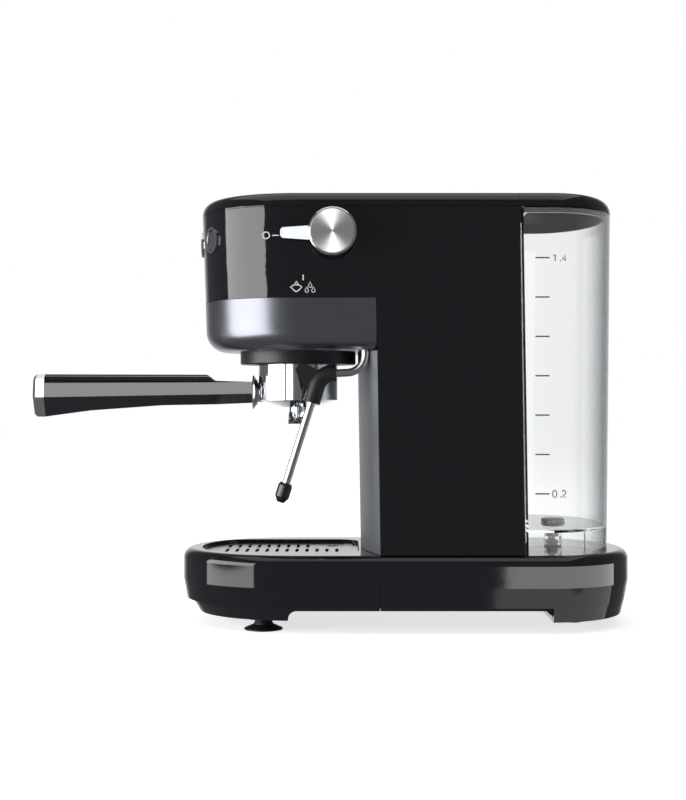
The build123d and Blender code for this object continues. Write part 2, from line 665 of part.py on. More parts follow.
def portafilter_bowl():
    """Chromed bowl with two bayonet ears, a cone below and a stub for the handle."""
    body = rod(BOWL_R, BOWL_Z, RIM_Z)
    ears = [sector(EAR_R + 5, EAR_ANGLE, EAR_Z, EAR_Z + EAR_H - 0.8, t) for t in (0, 180)]
    for ear in ears:
        body += ear & rod(EAR_R, EAR_Z, EAR_Z + EAR_H)
    cone = Polyline((0, BOWL_Z), (BOWL_R, BOWL_Z), (BOWL_R - 3, BOWL_Z - 1.0), (CONE_R, BOWL_Z - CONE_H),
                    (0, BOWL_Z - CONE_H), close=True)
    body += revolve(Plane.XZ * make_face(cone), Axis.Z)
    body += rod_y(NECK_R - 1.4, -NECK_Y + 0.6, -BOWL_R + 4, 0, NECK_Z)
    body -= rod(BOWL_IN, BOWL_Z + BOWL_FLOOR, RIM_Z + 1)
    return body - rod(4.0, BOWL_Z - CONE_H - 1, BOWL_Z + BOWL_FLOOR + 1)


def filter_basket():
    """Thin pressed cup with a flange and a perforated bottom."""
    z0 = RIM_Z - BASKET_DEEP
    body = rod(BASKET_R, z0, RIM_Z) + rod(BOWL_R + 0.2, RIM_Z, FLANGE_Z)
    body -= rod(BASKET_R - BASKET_T, z0 + BASKET_T, FLANGE_Z + 1)
    for radius, count in ((0, 1), (5, 6), (10, 12), (15, 18), (20, 24)):
        for i in range(count):
            a = radians(360 * i / count)
            body -= rod(0.7, z0 - 1, z0 + BASKET_T + 1, radius * cos(a), radius * sin(a))
    return body


def basket_spring():
    """Wire ring that keeps the basket in the bowl, open on one side."""
    mid = (BASKET_R + BOWL_IN) / 2
    wire = Pos(0, 0, RIM_Z - 6) * Torus(mid, 0.4)
    return wire - block(10, 40, -6, 6, RIM_Z - 8, RIM_Z - 4)


def twin_spout():
    """Spout with two open gutters, one towards each cup."""
    top = BOWL_Z - CONE_H
    foot = top - SPOUT_H + 1
    r = SPOUT_W / 2
    arch = ThreePointArc((-SPOUT_REACH, foot), (0, top - 3.0), (SPOUT_REACH, foot))
    low = ThreePointArc((-SPOUT_REACH + 7, foot), (0, top - 8.5), (SPOUT_REACH - 7, foot))
    ends = [Line((-SPOUT_REACH, foot), (-SPOUT_REACH + 7, foot)), Line((SPOUT_REACH - 7, foot), (SPOUT_REACH, foot))]
    gutter = extrude(Plane.XZ * make_face([arch, low] + ends), r, both=True)
    inner_arch = ThreePointArc((-SPOUT_REACH - 3, foot + 1.5), (0, top + 1.0), (SPOUT_REACH + 3, foot + 1.5))
    inner_low = ThreePointArc((-SPOUT_REACH + 4.5, foot - 2), (0, top - 6.0), (SPOUT_REACH - 4.5, foot - 2))
    ties = [Line((-SPOUT_REACH - 3, foot + 1.5), (-SPOUT_REACH + 4.5, foot - 2)),
            Line((SPOUT_REACH - 4.5, foot - 2), (SPOUT_REACH + 3, foot + 1.5))]
    groove = extrude(Plane.XZ * make_face([inner_arch, inner_low] + ties), r - 1.6, both=True)
    body = gutter - groove + ring(r, 3.0, top - 7.5, top)
    return body - rod(3.0, top - 6, top + 1)


def grip_section(y, foot, facet, shoulder, top, half):
    """Handle section across Y: flat top and foot, and a broad flat facet on each side."""
    points = [(half * 0.42, foot), (half, facet), (half * 0.86, shoulder), (half * 0.55, top),
              (-half * 0.55, top), (-half * 0.86, shoulder), (-half, facet), (-half * 0.42, foot)]
    outline = Polyline(*points, close=True)
    return Pos(0, y, 0) * Plane.XZ.location * make_face(outline)


def handle_grip():
    """Faceted grip that grows towards its end, with a raised spine on top."""
    z = NECK_Z
    end = -HANDLE_END + END_CAP
    sections = [
        grip_section(-NECK_Y, z - 7.8, z - 1.0, z + 7.3, z + 7.7, 9.0),
        grip_section(-60.5, z - 8.9, z - 1.6, z + 7.2, z + 8.4, 9.9),
        grip_section(-99.6, z - 9.6, z - 2.2, z + 7.0, z + 8.5, 11.2),
        grip_section(-152.2, z - 13.4, z - 3.1, z + 6.8, z + 8.6, 12.6),
        grip_section(end, z - 17.8, z - 3.6, z + 6.6, z + 8.7, 13.5)]
    grip = skin(*sections)
    spine = prism_x([(end, z + 6), (end, z + 13.2), (-66.5, z + 12.9), (-60.5, z + 8.4), (-60.5, z + 6)], 6.6)
    spine = fillet(spine.edges().filter_by(lambda e: abs(e.center().X) > 6.5 and e.center().Z > z + 12.5), 1.6)
    grip += spine
    return grip - rod_y(4.0, -100, -NECK_Y + 1, 0, z)


def handle_cap():
    """Chromed cap on the grip's end."""
    z = NECK_Z
    y0 = -HANDLE_END + END_CAP
    points = [(5.6, z - 17.9), (13.6, z - 3.6), (11.6, z + 9.6), (6.8, z + 13.3), (-6.8, z + 13.3),
              (-11.6, z + 9.6), (-13.6, z - 3.6), (-5.6, z - 17.9)]
    face = Pos(0, y0, 0) * Plane.XZ.location * make_face(Polyline(*points, close=True))
    body = extrude(face, END_CAP, dir=(0, -1, 0))
    rim = body.edges().filter_by(lambda e: abs(e.center().Y + HANDLE_END) < 0.01)
    return chamfer(rim, 2.2)


def handle_ring():
    """Chromed ring between bowl and grip, flared against the grip's end."""
    front = -NECK_Y + NECK_RING
    profile = Polyline((0, -NECK_Y), (FLARE_R, -NECK_Y), (FLARE_R, -NECK_Y + 0.8), (NECK_R, front), (0, front), close=True)
    body = Pos(0, 0, NECK_Z) * revolve(make_face(profile), Axis.Y)
    return body - rod_y(NECK_R - 1.4 + FIT, -NECK_Y - 1, 0, 0, NECK_Z)


def handle_bolt():
    """Threaded stud that holds the grip on the bowl's stub."""
    return rod_y(4.0, -96, -NECK_Y + 0.6, 0, NECK_Z)


# ---------------------------------------------------------------- steam knob and wand
KNOB_Z = CAP_Z - KNOB_DROP
FACE_X = HEAD_R + KNOB_OUT


def knob_lever():
    """Chromed knob with a lever that points at the marks, on the steam valve's axis."""
    x0 = HEAD_R + KNOB_GAP
    body = rod_x(KNOB_R - 1.6, x0, FACE_X - 10, KNOB_Y, KNOB_Z)
    body += rod_x(KNOB_R, FACE_X - 10, FACE_X - 0.6, KNOB_Y, KNOB_Z)
    body = fillet(body.edges().filter_by(lambda e: abs(e.center().X - FACE_X + 0.6) < 0.01), 1.4)
    tip = KNOB_Y - LEVER_REACH
    half0 = LEVER_ROOT / 2
    half1 = LEVER_TIP / 2
    outline = Polyline((KNOB_Y, KNOB_Z - half0 - 1.6), (tip + 1.5, KNOB_Z - half1), (tip, KNOB_Z - half1 + 1.5),
                       (tip, KNOB_Z + half1 - 1.5), (tip + 1.5, KNOB_Z + half1), (KNOB_Y, KNOB_Z + half0 + 1.6),
                       close=True)
    arm = Pos(x0 + 2.2, 0, 0) * extrude(Plane.YZ * make_face(outline), LEVER_T)
    body += arm
    body -= rod_x(KNOB_FACE_R, FACE_X - 1.6, FACE_X + 1, KNOB_Y, KNOB_Z)
    return body - rod_x(STEM_R, x0 - 1, x0 + 10, KNOB_Y, KNOB_Z)


def knob_face():
    """Turned metal disc in the knob's face."""
    disc = rod_x(KNOB_FACE_R, FACE_X - 1.6, FACE_X, KNOB_Y, KNOB_Z)
    return chamfer(disc.edges().filter_by(lambda e: abs(e.center().X - FACE_X) < 0.01), 0.35)


def valve_stem():
    """Spindle from the knob into the steam valve."""
    return rod_x(STEM_R, IN_X - 14, HEAD_R + KNOB_GAP + 10, KNOB_Y, KNOB_Z)


def steam_valve():
    """Brass valve body on the side panel, with the spindle's bore and a port below."""
    body = block(IN_X - 22, IN_X - SEAM, KNOB_Y - 10, KNOB_Y + 10, KNOB_Z - 10, KNOB_Z + 10)
    body = fillet(body.edges().filter_by(Axis.X), 3.0)
    body += rod(5.0, KNOB_Z - 14, KNOB_Z - 9, IN_X - 14, KNOB_Y)
    body += rod_x(5.0, IN_X - 27, IN_X - 21, KNOB_Y, KNOB_Z)
    body -= rod_x(STEM_R + FIT, IN_X - 14.5, IN_X + 1, KNOB_Y, KNOB_Z)
    body -= rod(1.5, KNOB_Z - 15, KNOB_Z, IN_X - 14, KNOB_Y)
    return body - rod_x(1.5, IN_X - 28, IN_X - 14, KNOB_Y, KNOB_Z)


def wand_nut():
    """Nut on the band's floor, its neck flush with the underside, that the wand's pipe turns in."""
    seat = BAND_Z + WALL + SEAM
    body = rod(NUT_NECK, BAND_Z, seat, WAND_X, WAND_Y)
    body += rod(WAND_NUT_R, seat, BAND_Z + 9, WAND_X, WAND_Y)
    return body - rod(WAND_R + FIT, BAND_Z - 1, BAND_Z + 6, WAND_X, WAND_Y)


def wand_points():
    """Corners of the wand's pipe, from the nut to the nozzle."""
    level = BAND_Z - WAND_DROP
    return [(WAND_X, WAND_Y, BAND_Z + 5), (WAND_X, WAND_Y, level),
            (WAND_X, WAND_KNEE_Y, level - 1.5),
            (WAND_X, WAND_TIP_Y, BAND_Z - WAND_TIP_DROP)]


def wand_slope():
    """Unit vector from the pipe's knee to the wand's tip."""
    return (Vector(*wand_points()[3]) - Vector(*wand_points()[2])).normalized()


def wand_bar():
    """The pipe's bent round bar, which ends where the nozzle starts."""
    points = wand_points()
    points[3] = Vector(*points[3]) - wand_slope() * NOZZLE_H
    return hose(points, [NECK_BEND, KNEE_BEND], WAND_R)


def wand_pipe():
    """Chromed steam pipe, bent under the head and down towards the jug."""
    return wand_bar()


def wand_grip():
    """Rubber sleeve over the pipe's knee with a thumb tab."""
    level = BAND_Z - WAND_DROP
    knee = Vector(*wand_points()[2])
    stop = knee + wand_slope() * (level - BAND_Z + WAND_KNEE_DROP)
    entry = (knee - Vector(*wand_points()[1])).normalized()
    sleeve = hose([knee - entry * 11.0, knee, stop], KNEE_BEND, WAND_GRIP_R)
    outline = Polyline(*[(knee.Y + y, knee.Z + z) for y, z in WAND_TAB], close=True)
    tab = Pos(WAND_X, 0, 0) * extrude(Plane.YZ * make_face(outline), 2.0, both=True)
    tab = fillet(tab.edges().filter_by(Axis.X), 1.5)
    return sleeve + tab - wand_bar()


def wand_nozzle():
    """Nozzle with four steam holes at the pipe's end."""
    along = wand_slope()
    start = Vector(*wand_points()[3]) - along * NOZZLE_H
    length = NOZZLE_H
    profile = Polyline((0, 0), (NOZZLE_R - 1.0, 0), (NOZZLE_R, 2.0), (NOZZLE_R, length - 4.0),
                       (NOZZLE_R - 2.5, length), (0, length), close=True)
    body = revolve(Plane.XZ * make_face(profile), Axis.Z)
    for a in (45, 135, 225, 315):
        body -= Rot(0, 0, a) * Pos(1.6, 0, length) * Cylinder(0.5, 4)
    return Plane(origin=start, z_dir=along).location * body


# ---------------------------------------------------------------- buttons
def button(index):
    """Domed push button with the plunger that works its switch."""
    face = HEAD_R + 0.5
    dome = at_front(index, BUTTON_R, HEAD_R - 5, face)
    dome = fillet(dome.edges().filter_by(GeomType.CIRCLE).sort_by(
        lambda e: hypot(e.center().X, e.center().Y - head_centre(CAP_Z - BUTTON_DROP)))[-1], 0.9)
    return dome + at_front(index, 3.0, HEAD_R - 11, HEAD_R - 4.5)


def button_bezels():
    """Three rings set in the panel around the buttons."""
    rings = []
    for i in (-1, 0, 1):
        tube = at_front(i, BEZEL_TUBE, HEAD_R - 8, HEAD_R + BEZEL_PROUD)
        flange = at_front(i, BEZEL_R, HEAD_R - 2, HEAD_R + BEZEL_PROUD) - head_block(0.05)
        rings.append(tube + flange - at_front(i, BUTTON_R + SEAM, HEAD_R - 9, HEAD_R + 5))
    return rings


def switch_carrier():
    """Bracket behind the round front that holds the switches and is screwed to the cap."""
    z = CAP_Z - BUTTON_DROP
    centre = head_centre(z)
    back = HEAD_R - 22
    bow = ring(back + 1.6, back, z - 10, TOP_Z - WALL - PLATE_DEEP - SEAM, 0, centre)
    return bow & sector(back + 30, 48, z - 12, CAP_Z + 7, -90)


def button_switches():
    """Three microswitches, each behind its button."""
    out = []
    for i in (-1, 0, 1):
        body = button_place(i) * Pos(0, 0, HEAD_R - 16.6) * Box(9, 7, 6.4)
        tip = at_front(i, 1.6, HEAD_R - 14, HEAD_R - 11.4 - BUTTON_TRAVEL)
        out.append(body + tip)
    return out


# ---------------------------------------------------------------- water tank
TANK_Z = DECK_Z + SEAM
TANK_FLOOR = DECK_Z + TANK_SKIRT
RIM_Z_TANK = CAP_Z - RIM_DROP
FLOOR_T = 2.1


def tank_plan(z, inset):
    """Tank outline at height z: flat against the column, round at the rear, tapering down."""
    front = column_rear(z) + SLIDE + inset
    rear = TANK_REAR - (CAP_Z - z) * tan(radians(TANK_TAPER)) - inset
    return plan(z, TANK_HALF - inset, front, rear, rear_round=TANK_ROUND - inset)


def water_tank():
    """Clear tank with a skirt, a valve housing through its floor and an outward bead at the rim."""
    outer = skin(tank_plan(TANK_Z, 0), tank_plan(RIM_Z_TANK, 0))
    room = skin(tank_plan(TANK_FLOOR + FLOOR_T, TANK_WALL), tank_plan(RIM_Z_TANK + 1, TANK_WALL))
    under = skin(tank_plan(TANK_Z - 1, TANK_WALL), tank_plan(TANK_FLOOR, TANK_WALL))
    body = outer - room - under
    for x in (-32, 32):
        rib = skin(tank_plan(TANK_Z, TANK_WALL - 0.2), tank_plan(TANK_FLOOR + 0.5, TANK_WALL - 0.2))
        body += rib & block(x - 1, x + 1, 0, 400, TANK_Z, TANK_FLOOR + 1)
    body += rod(VALVE_R, DECK_Z + 1.5, TANK_FLOOR + FLOOR_T + VALVE_LIP, 0, VALVE_Y)
    body -= rod(SPIGOT_R + 0.4, DECK_Z, SPIGOT_TOP + SEAM, 0, VALVE_Y)
    body -= rod(2.6, SPIGOT_TOP, TANK_FLOOR + 8, 0, VALVE_Y)
    return body - rod(VALVE_R - 2, SPIGOT_TOP + 2.4, TANK_FLOOR + 8, 0, VALVE_Y)


SPIGOT_TOP = DECK_Z + SPIGOT_H


def valve_poppet():
    """Valve that the spigot's pin lifts when the tank is seated."""
    z0 = SPIGOT_TOP + 2.4 + SEAM
    disc = rod(VALVE_R - 2.4, z0, z0 + 2, 0, VALVE_Y)
    return disc + rod(1.6, SPIGOT_TOP + 0.4, z0 + 5.5, 0, VALVE_Y)


def valve_spring():
    """Spring that closes the poppet, drawn as stacked turns between poppet and filter cap."""
    z0 = SPIGOT_TOP + 2.4 + SEAM + 2.0 + SEAM
    height = valve_cap_floor() - SEAM - z0
    path = Helix(height / 4, height - 0.8, 3.4)
    wire = sweep(Plane(origin=path @ 0, z_dir=path % 0) * Circle(0.4), path, is_frenet=True)
    return Pos(0, VALVE_Y, z0 + 0.4) * wire


def valve_cap_floor():
    """Height of the filter cap's under side, which leaves the poppet its lift."""
    return SPIGOT_TOP + 11.2 + POPPET_LIFT


def tank_filter():
    """Slotted dome over the valve that keeps scale out of the pump."""
    z0 = TANK_FLOOR + FLOOR_T + SEAM
    top = valve_cap_floor() + 1.6
    body = fillet(top_edges(rod(VALVE_R + 2.2, z0, top, 0, VALVE_Y), top), 2.0)
    body -= rod(VALVE_R + SEAM, z0 - 1, valve_cap_floor(), 0, VALVE_Y)
    for a in range(0, 360, 30):
        body -= Pos(0, VALVE_Y, z0) * Rot(0, 0, a) * Pos(VALVE_R + 1, 0, 0) * Box(6, 1.2, 1.2)
    return body


def tank_lid():
    """Lid with a locating rim inside the tank and a finger notch at its front."""
    z0 = CAP_Z + SEAM
    front = column_rear(CAP_Z) + SEAM
    body = extrude(plan(z0, HEAD_R, front, TANK_REAR, rear_round=TANK_ROUND), CAP_H - SEAM)
    body = fillet(top_edges(body, TOP_Z).filter_by(lambda e: e.center().Y > front + 1), CAP_ROUND)
    gap = TANK_WALL + 2 * SLIDE
    z1 = RIM_Z_TANK - LID_SKIRT
    body += extrude(tank_plan(z1, gap), z0 + 2 - z1)
    return body - extrude(tank_plan(z1, gap + 2.0), TOP_Z - WALL - z1) - lid_notch(front)


def lid_notch(front):
    """Finger notch in the middle of the lid's front edge."""
    return Pos(0, front, TOP_Z) * Rot(0, 90, 0) * Cylinder(2.0, 26)


def tank_spigot():
    """Pipe through the deck that the tank's valve seats on, with a pin and a hose barb below."""
    body = rod(SPIGOT_R, DECK_Z, SPIGOT_TOP, 0, VALVE_Y) + rod(SPIGOT_R + 3, DECK_Z, DECK_Z + 0.9, 0, VALVE_Y)
    body += rod(SPIGOT_R, DECK_Z - WALL, DECK_Z, 0, VALVE_Y)
    body += rod(TUBE_R - 1.2, DECK_Z - 12, DECK_Z, 0, VALVE_Y)
    body -= rod(1.4, DECK_Z - 13, SPIGOT_TOP + 1, 0, VALVE_Y)
    groove = ring(SPIGOT_R + 1, SPIGOT_R - 0.9, DECK_Z + 2.4, DECK_Z + 4.2, 0, VALVE_Y)
    return body - groove


def spigot_seal():
    """O ring in the spigot's groove."""
    return ring(SPIGOT_R + 0.1, SPIGOT_R - 0.9, DECK_Z + 2.5, DECK_Z + 4.1, 0, VALVE_Y)


# ---------------------------------------------------------------- boiler and water path
GASKET_BOILER = 2.0
BOILER_SPLIT = BOILER_Z + BOILER_LOW
BOILER_END = BOILER_SPLIT + GASKET_BOILER + BOILER_TOP


def lugs(z0, z1, hole):
    """Four bolt lugs between two heights."""
    parts = []
    for x, y in bolt_spots():
        parts.append(rod(6.0, z0, z1, x, y) - rod(hole, z0 - 1, z1 + 1, x, y))
    return parts


def boiler_half(z0, z1, room0, room1):
    """One cast half of the boiler with its lugs and its water space."""
    body = rod(BOILER_R, z0, z1)
    body += lugs(z0, z1, 0.5)
    for x, y in bolt_spots():
        body -= rod(BOLT + 0.3, z0 - 1, z1 + 1, x, y)
    return body - rod(BOILER_R - 9, room0, room1)


def boiler_lower():
    """Lower half: cast body with the water inlet, seated on the group head."""
    body = boiler_half(BOILER_Z, BOILER_SPLIT, BOILER_Z + 7, BOILER_SPLIT + 1)
    body -= rod(1.5, BOILER_Z - 1, BOILER_Z + 8)
    body += rod_y(4.0, BOILER_R - 2, BOILER_R + 8, 0, BOILER_Z + 13)
    return body - rod_y(1.5, BOILER_R - 12, BOILER_R + 9, 0, BOILER_Z + 13)


def boiler_gasket():
    """Flat rubber ring between the boiler's halves."""
    return ring(BOILER_R - 1, BOILER_R - 9, BOILER_SPLIT, BOILER_SPLIT + GASKET_BOILER)


def boiler_upper():
    """Upper half: cast dome with the heating element's groove and the steam outlet."""
    z0 = BOILER_SPLIT + GASKET_BOILER
    body = boiler_half(z0, z0 + 8, z0 - 1, BOILER_END - 7)
    body += rod(BOILER_R - 4, z0 + 7, BOILER_END)
    body -= rod(BOILER_R - 9, z0 - 1, BOILER_END - 7)
    body = body - ring(25.2, 18.8, BOILER_END - 3.2, BOILER_END + 1)
    body += rod(4.0, BOILER_END - 2, BOILER_END + 7)
    return body - rod(1.5, BOILER_END - 10, BOILER_END + 8)


def heating_element():
    """Ring heater in the dome's groove with its two terminals."""
    body = ring(24.9, 19.1, BOILER_END - 3.2, BOILER_END + 2.6) - block(-4, 4, -40, 0, BOILER_END - 4, BOILER_END + 4)
    for x in (-7, 7):
        body += rod(1.6, BOILER_END, BOILER_END + 9, x, -20.8)
    return body


def thermostats():
    """Brewing and steam thermostats clamped to the boiler's dome."""
    return [rod(4.6, BOILER_END, BOILER_END + 4, x, 6.0) + rod(3.0, BOILER_END + 3.9, BOILER_END + 7, x, 6.0)
            for x in (-9.5, 9.5)]


def boiler_bolts():
    """Four bolts through both halves and the group head."""
    top = BOILER_SPLIT + GASKET_BOILER + 8
    return [rod(3.6, top, top + 3.4, x, y) + rod(BOLT, HEAD_Z + 0.5, top + 1, x, y) for x, y in bolt_spots()]


def pump_mounts():
    """Two rubber blocks that hold the pump off the column's rear wall."""
    out = []
    for z0 in (DECK_Z + 10, DECK_Z + PUMP_H - 6):
        wall = column_rear(z0 + 12) - WALL - SEAM
        body = block(PUMP_X - 15, PUMP_X + 15, PUMP_Y - 15, wall, z0, z0 + 12)
        out.append(body - rod(PUMP_R, z0 - 1, z0 + 13, PUMP_X, PUMP_Y))
    return out


def pump_body():
    """Vibration pump: plastic tube with hose barbs at both ends."""
    z0 = DECK_Z + 10
    body = rod(PUMP_R, z0, z0 + PUMP_H, PUMP_X, PUMP_Y)
    body += rod(TUBE_R - 1.2, z0 - 8, z0, PUMP_X, PUMP_Y) + rod(4.0, z0 + PUMP_H, z0 + PUMP_H + 9, PUMP_X, PUMP_Y)
    return body - rod(1.2, z0 - 9, z0 + PUMP_H + 10, PUMP_X, PUMP_Y)


def pump_coil():
    """Coil in its steel frame round the pump."""
    z0 = DECK_Z + 30
    body = block(PUMP_X - COIL / 2, PUMP_X + COIL / 2, PUMP_Y - COIL / 2, PUMP_Y + COIL / 2, z0, z0 + COIL_H)
    body = fillet(body.edges().filter_by(Axis.Z), 4.0)
    return body - rod(PUMP_R, z0 - 1, z0 + COIL_H + 1, PUMP_X, PUMP_Y)


def suction_tube():
    """Silicone tube from the tank's spigot under the deck and up to the pump."""
    low = DECK_Z - 20
    points = [(0, VALVE_Y, DECK_Z - 3), (0, VALVE_Y, low), (PUMP_X, PUMP_Y, low), (PUMP_X, PUMP_Y, DECK_Z + 9)]
    barb_low = rod(TUBE_R - 1.2, DECK_Z - 13, DECK_Z + 1, 0, VALVE_Y)
    barb_high = rod(TUBE_R - 1.2, DECK_Z + 1, DECK_Z + 11, PUMP_X, PUMP_Y)
    return hose(points, 9.0, TUBE_R) - barb_low - barb_high


def pressure_tube():
    """Reinforced tube from the pump up and forward to the boiler's inlet."""
    top = DECK_Z + 10 + PUMP_H + 9
    inlet = BOILER_Z + 13
    points = [(PUMP_X, PUMP_Y, top + SEAM), (PUMP_X, PUMP_Y, inlet), (0, PUMP_Y - 45, inlet),
              (0, BOILER_R + 8 + SEAM, inlet)]
    return hose(points, [14.0, 14.0], 2.5)


def steam_tubes():
    """Steel tubes from the boiler to the steam valve and from the valve down to the wand's nut."""
    x_in = IN_X - 27 - SEAM
    up = hose([(0, 0, BOILER_END + 7 + SEAM), (0, 0, KNOB_Z), (16, KNOB_Y, KNOB_Z), (x_in, KNOB_Y, KNOB_Z)],
              [7.0, 7.0], 2.0)
    x_out = IN_X - 14
    down = hose([(x_out, KNOB_Y, KNOB_Z - 14 - SEAM), (x_out, KNOB_Y, KNOB_Z - 30),
                 (WAND_X, WAND_Y, BAND_Z + 28), (WAND_X, WAND_Y, BAND_Z + 9 + SEAM)], [10.0, 10.0], 2.0)
    return [up, down]


def control_board():
    """Circuit board on the left side panel with its relay, terminals and transformer."""
    x0 = -IN_X + 3.0
    z0 = DECK_Z + 60
    y0 = column_front(DECK_Z) + 12
    board = block(x0, x0 + 1.6, y0, y0 + 62, z0, z0 + 84)
    for y, z in ((y0 + 5, z0 + 5), (y0 + 57, z0 + 5), (y0 + 5, z0 + 79), (y0 + 57, z0 + 79)):
        board += rod_x(2.5, -IN_X + SEAM, x0 + 0.1, y, z)
    board += block(x0 + 1.5, x0 + 14, y0 + 8, y0 + 26, z0 + 10, z0 + 32)
    board += block(x0 + 1.5, x0 + 12, y0 + 34, y0 + 54, z0 + 14, z0 + 28)
    for i in range(4):
        board += block(x0 + 1.5, x0 + 8, y0 + 10 + 12 * i, y0 + 16 + 12 * i, z0 + 66, z0 + 72)
    return board


# ---------------------------------------------------------------- nodes
def nodes():
    """Every node's name with its solid or solids."""
    return {
        "casing": casing(), "column_cover": column_cover(), "head_band": head_band(), "top_cover": top_cover(),
        "cup_plate": cup_plate(), "back_panel": back_panel(), "base_housing": base_housing(),
        "base_plate": base_plate(), "suction_feet": suction_feet(), "rear_feet": rear_feet(),
        "screws": base_screws() + collar_screws() + [screen_screw()], "cord_gland": cord_gland(),
        "group_collar": group_collar(), "group_head": group_head(),
        "group_gasket": group_gasket(), "shower_screen": shower_screen(),
        "portafilter_bowl": portafilter_bowl(), "filter_basket": filter_basket(),
        "basket_spring": basket_spring(), "twin_spout": twin_spout(), "handle_grip": handle_grip(),
        "handle_cap": handle_cap(), "handle_ring": handle_ring(), "handle_bolt": handle_bolt(),
        "knob_lever": knob_lever(), "knob_face": knob_face(), "valve_stem": valve_stem(),
        "steam_valve": steam_valve(), "wand_nut": wand_nut(), "wand_pipe": wand_pipe(),
        "wand_grip": wand_grip(), "wand_nozzle": wand_nozzle(),
        "button_left": button(-1), "button_middle": button(0), "button_right": button(1),
        "button_bezels": button_bezels(), "switch_carrier": switch_carrier(),
        "button_switches": button_switches(), "control_board": control_board(),
        "water_tank": water_tank(), "tank_filter": tank_filter(), "valve_poppet": valve_poppet(),
        "valve_spring": valve_spring(), "tank_lid": tank_lid(), "tank_spigot": tank_spigot(),
        "spigot_seal": spigot_seal(), "boiler_lower": boiler_lower(), "boiler_gasket": boiler_gasket(),
        "boiler_upper": boiler_upper(), "heating_element": heating_element(), "thermostats": thermostats(),
        "boiler_bolts": boiler_bolts(), "pump_body": pump_body(), "pump_coil": pump_coil(),
        "pump_mounts": pump_mounts(), "suction_tube": suction_tube(),
        "pressure_tubes": [pressure_tube()] + steam_tubes(), "drip_tray": drip_tray(), "drip_grid": drip_grid(),
        "level_float": level_float(),
    }


def main():
    """Write one file for each node, in the frame whose origin is the whole's bottom centre."""
    os.makedirs("parts", exist_ok=True)
    shift = Pos(-X_MID, -Y_MID, 0)
    for name, made in nodes().items():
        pieces = made if isinstance(made, list) else [made]
        solids = [shift * solid for piece in pieces for solid in piece.solids()]
        export_step(Compound(children=solids) if len(solids) > 1 else solids[0], "parts/" + name + ".step")
        print(name, len(solids))


main()
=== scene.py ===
# %% [markdown]
# # An espresso machine
# This scene dresses a small pump espresso machine: gloss black mouldings round a satin metallic band, a
# chrome filter holder, a steam wand and a clear water tank.

# %% Load the frame
import json
import math

import bmesh
import bpy
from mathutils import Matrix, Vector


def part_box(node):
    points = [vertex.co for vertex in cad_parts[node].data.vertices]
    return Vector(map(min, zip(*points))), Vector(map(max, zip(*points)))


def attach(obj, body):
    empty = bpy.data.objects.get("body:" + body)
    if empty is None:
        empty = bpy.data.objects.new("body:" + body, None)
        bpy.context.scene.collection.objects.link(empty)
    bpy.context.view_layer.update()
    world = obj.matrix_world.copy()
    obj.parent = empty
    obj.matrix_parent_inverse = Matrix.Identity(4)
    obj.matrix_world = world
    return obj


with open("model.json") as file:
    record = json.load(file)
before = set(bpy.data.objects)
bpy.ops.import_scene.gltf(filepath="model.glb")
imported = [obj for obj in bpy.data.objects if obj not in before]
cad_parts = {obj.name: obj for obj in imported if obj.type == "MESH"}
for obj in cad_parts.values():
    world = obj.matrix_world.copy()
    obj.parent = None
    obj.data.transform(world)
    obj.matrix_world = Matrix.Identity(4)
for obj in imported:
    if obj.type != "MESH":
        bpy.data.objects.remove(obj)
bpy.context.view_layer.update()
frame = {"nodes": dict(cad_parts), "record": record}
MM = 0.001

# %% [markdown]
# # The studio
# Gloss black shows almost nothing of itself. What the eye reads is the shape of the lights that it
# mirrors, so the lights matter more than anything else here. Softboxes stand off to both sides of the
# camera and leave a dark gap between them: the flat side panel mirrors that gap and stays black, while
# the rounded corners pick up a clean bright patch with a sharp edge. A strong lamp overhead would fill
# the patch in, so the overhead light is large and weak. The colour of a lit white page is kept by the
# plain `Standard` view, which doesn't bend tones as a film curve does.

# %% The camera
SENSOR = 36
LENS = 64.8
CAMERA_PLACE = (1.0515, 0.009, 0.1613)

camera = bpy.data.objects.new("camera", bpy.data.cameras.new("camera"))
camera.data.sensor_width = SENSOR
camera.data.lens = LENS
camera.location = CAMERA_PLACE
camera.rotation_euler = (math.pi / 2, 0, math.pi / 2)
bpy.context.scene.collection.objects.link(camera)
bpy.context.scene.camera = camera
bpy.context.scene.view_settings.view_transform = "Standard"
print("lens in mm:", round(camera.data.lens, 1))

# %% [markdown]
# # One way to write a material
# Each finish below is a tree of nodes. One small function adds a node with its settings and its links,
# another starts a material with its shader, and a third links the last nodes to it, so that a finish
# reads as a short list. Colours are written as the hex values that a paint card gives, and one function
# turns them into the linear light that the shader wants. Patterns are in object coordinates. The parts
# sit at the origin of the model's frame, so one unit of pattern is one metre, and a grain of 0.4 mm has a
# scale of 1 / 0.0004.

# %% Colours, nodes and materials
def linear(code):
    """The linear colour of an sRGB hex code."""
    channels = [int(code[i:i + 2], 16) / 255 for i in (0, 2, 4)]
    return [c / 12.92 if c <= 0.04045 else ((c + 0.055) / 1.055) ** 2.4 for c in channels] + [1]


def add(tree, kind, inputs=(), stops=(), **settings):
    """A new node. inputs gives each socket a value, or links it to another node's socket.

    stops gives the places and colours of a ramp's two ends.
    """
    node = tree.nodes.new("ShaderNode" + kind)
    for name, value in settings.items():
        setattr(node, name, value)
    for name, value in dict(inputs).items():
        if isinstance(value, bpy.types.NodeSocket):
            tree.links.new(value, node.inputs[name])
        else:
            node.inputs[name].default_value = value
    for i, (position, colour) in enumerate(dict(stops).items()):
        node.color_ramp.elements[i].position = position
        node.color_ramp.elements[i].color = colour
    return node


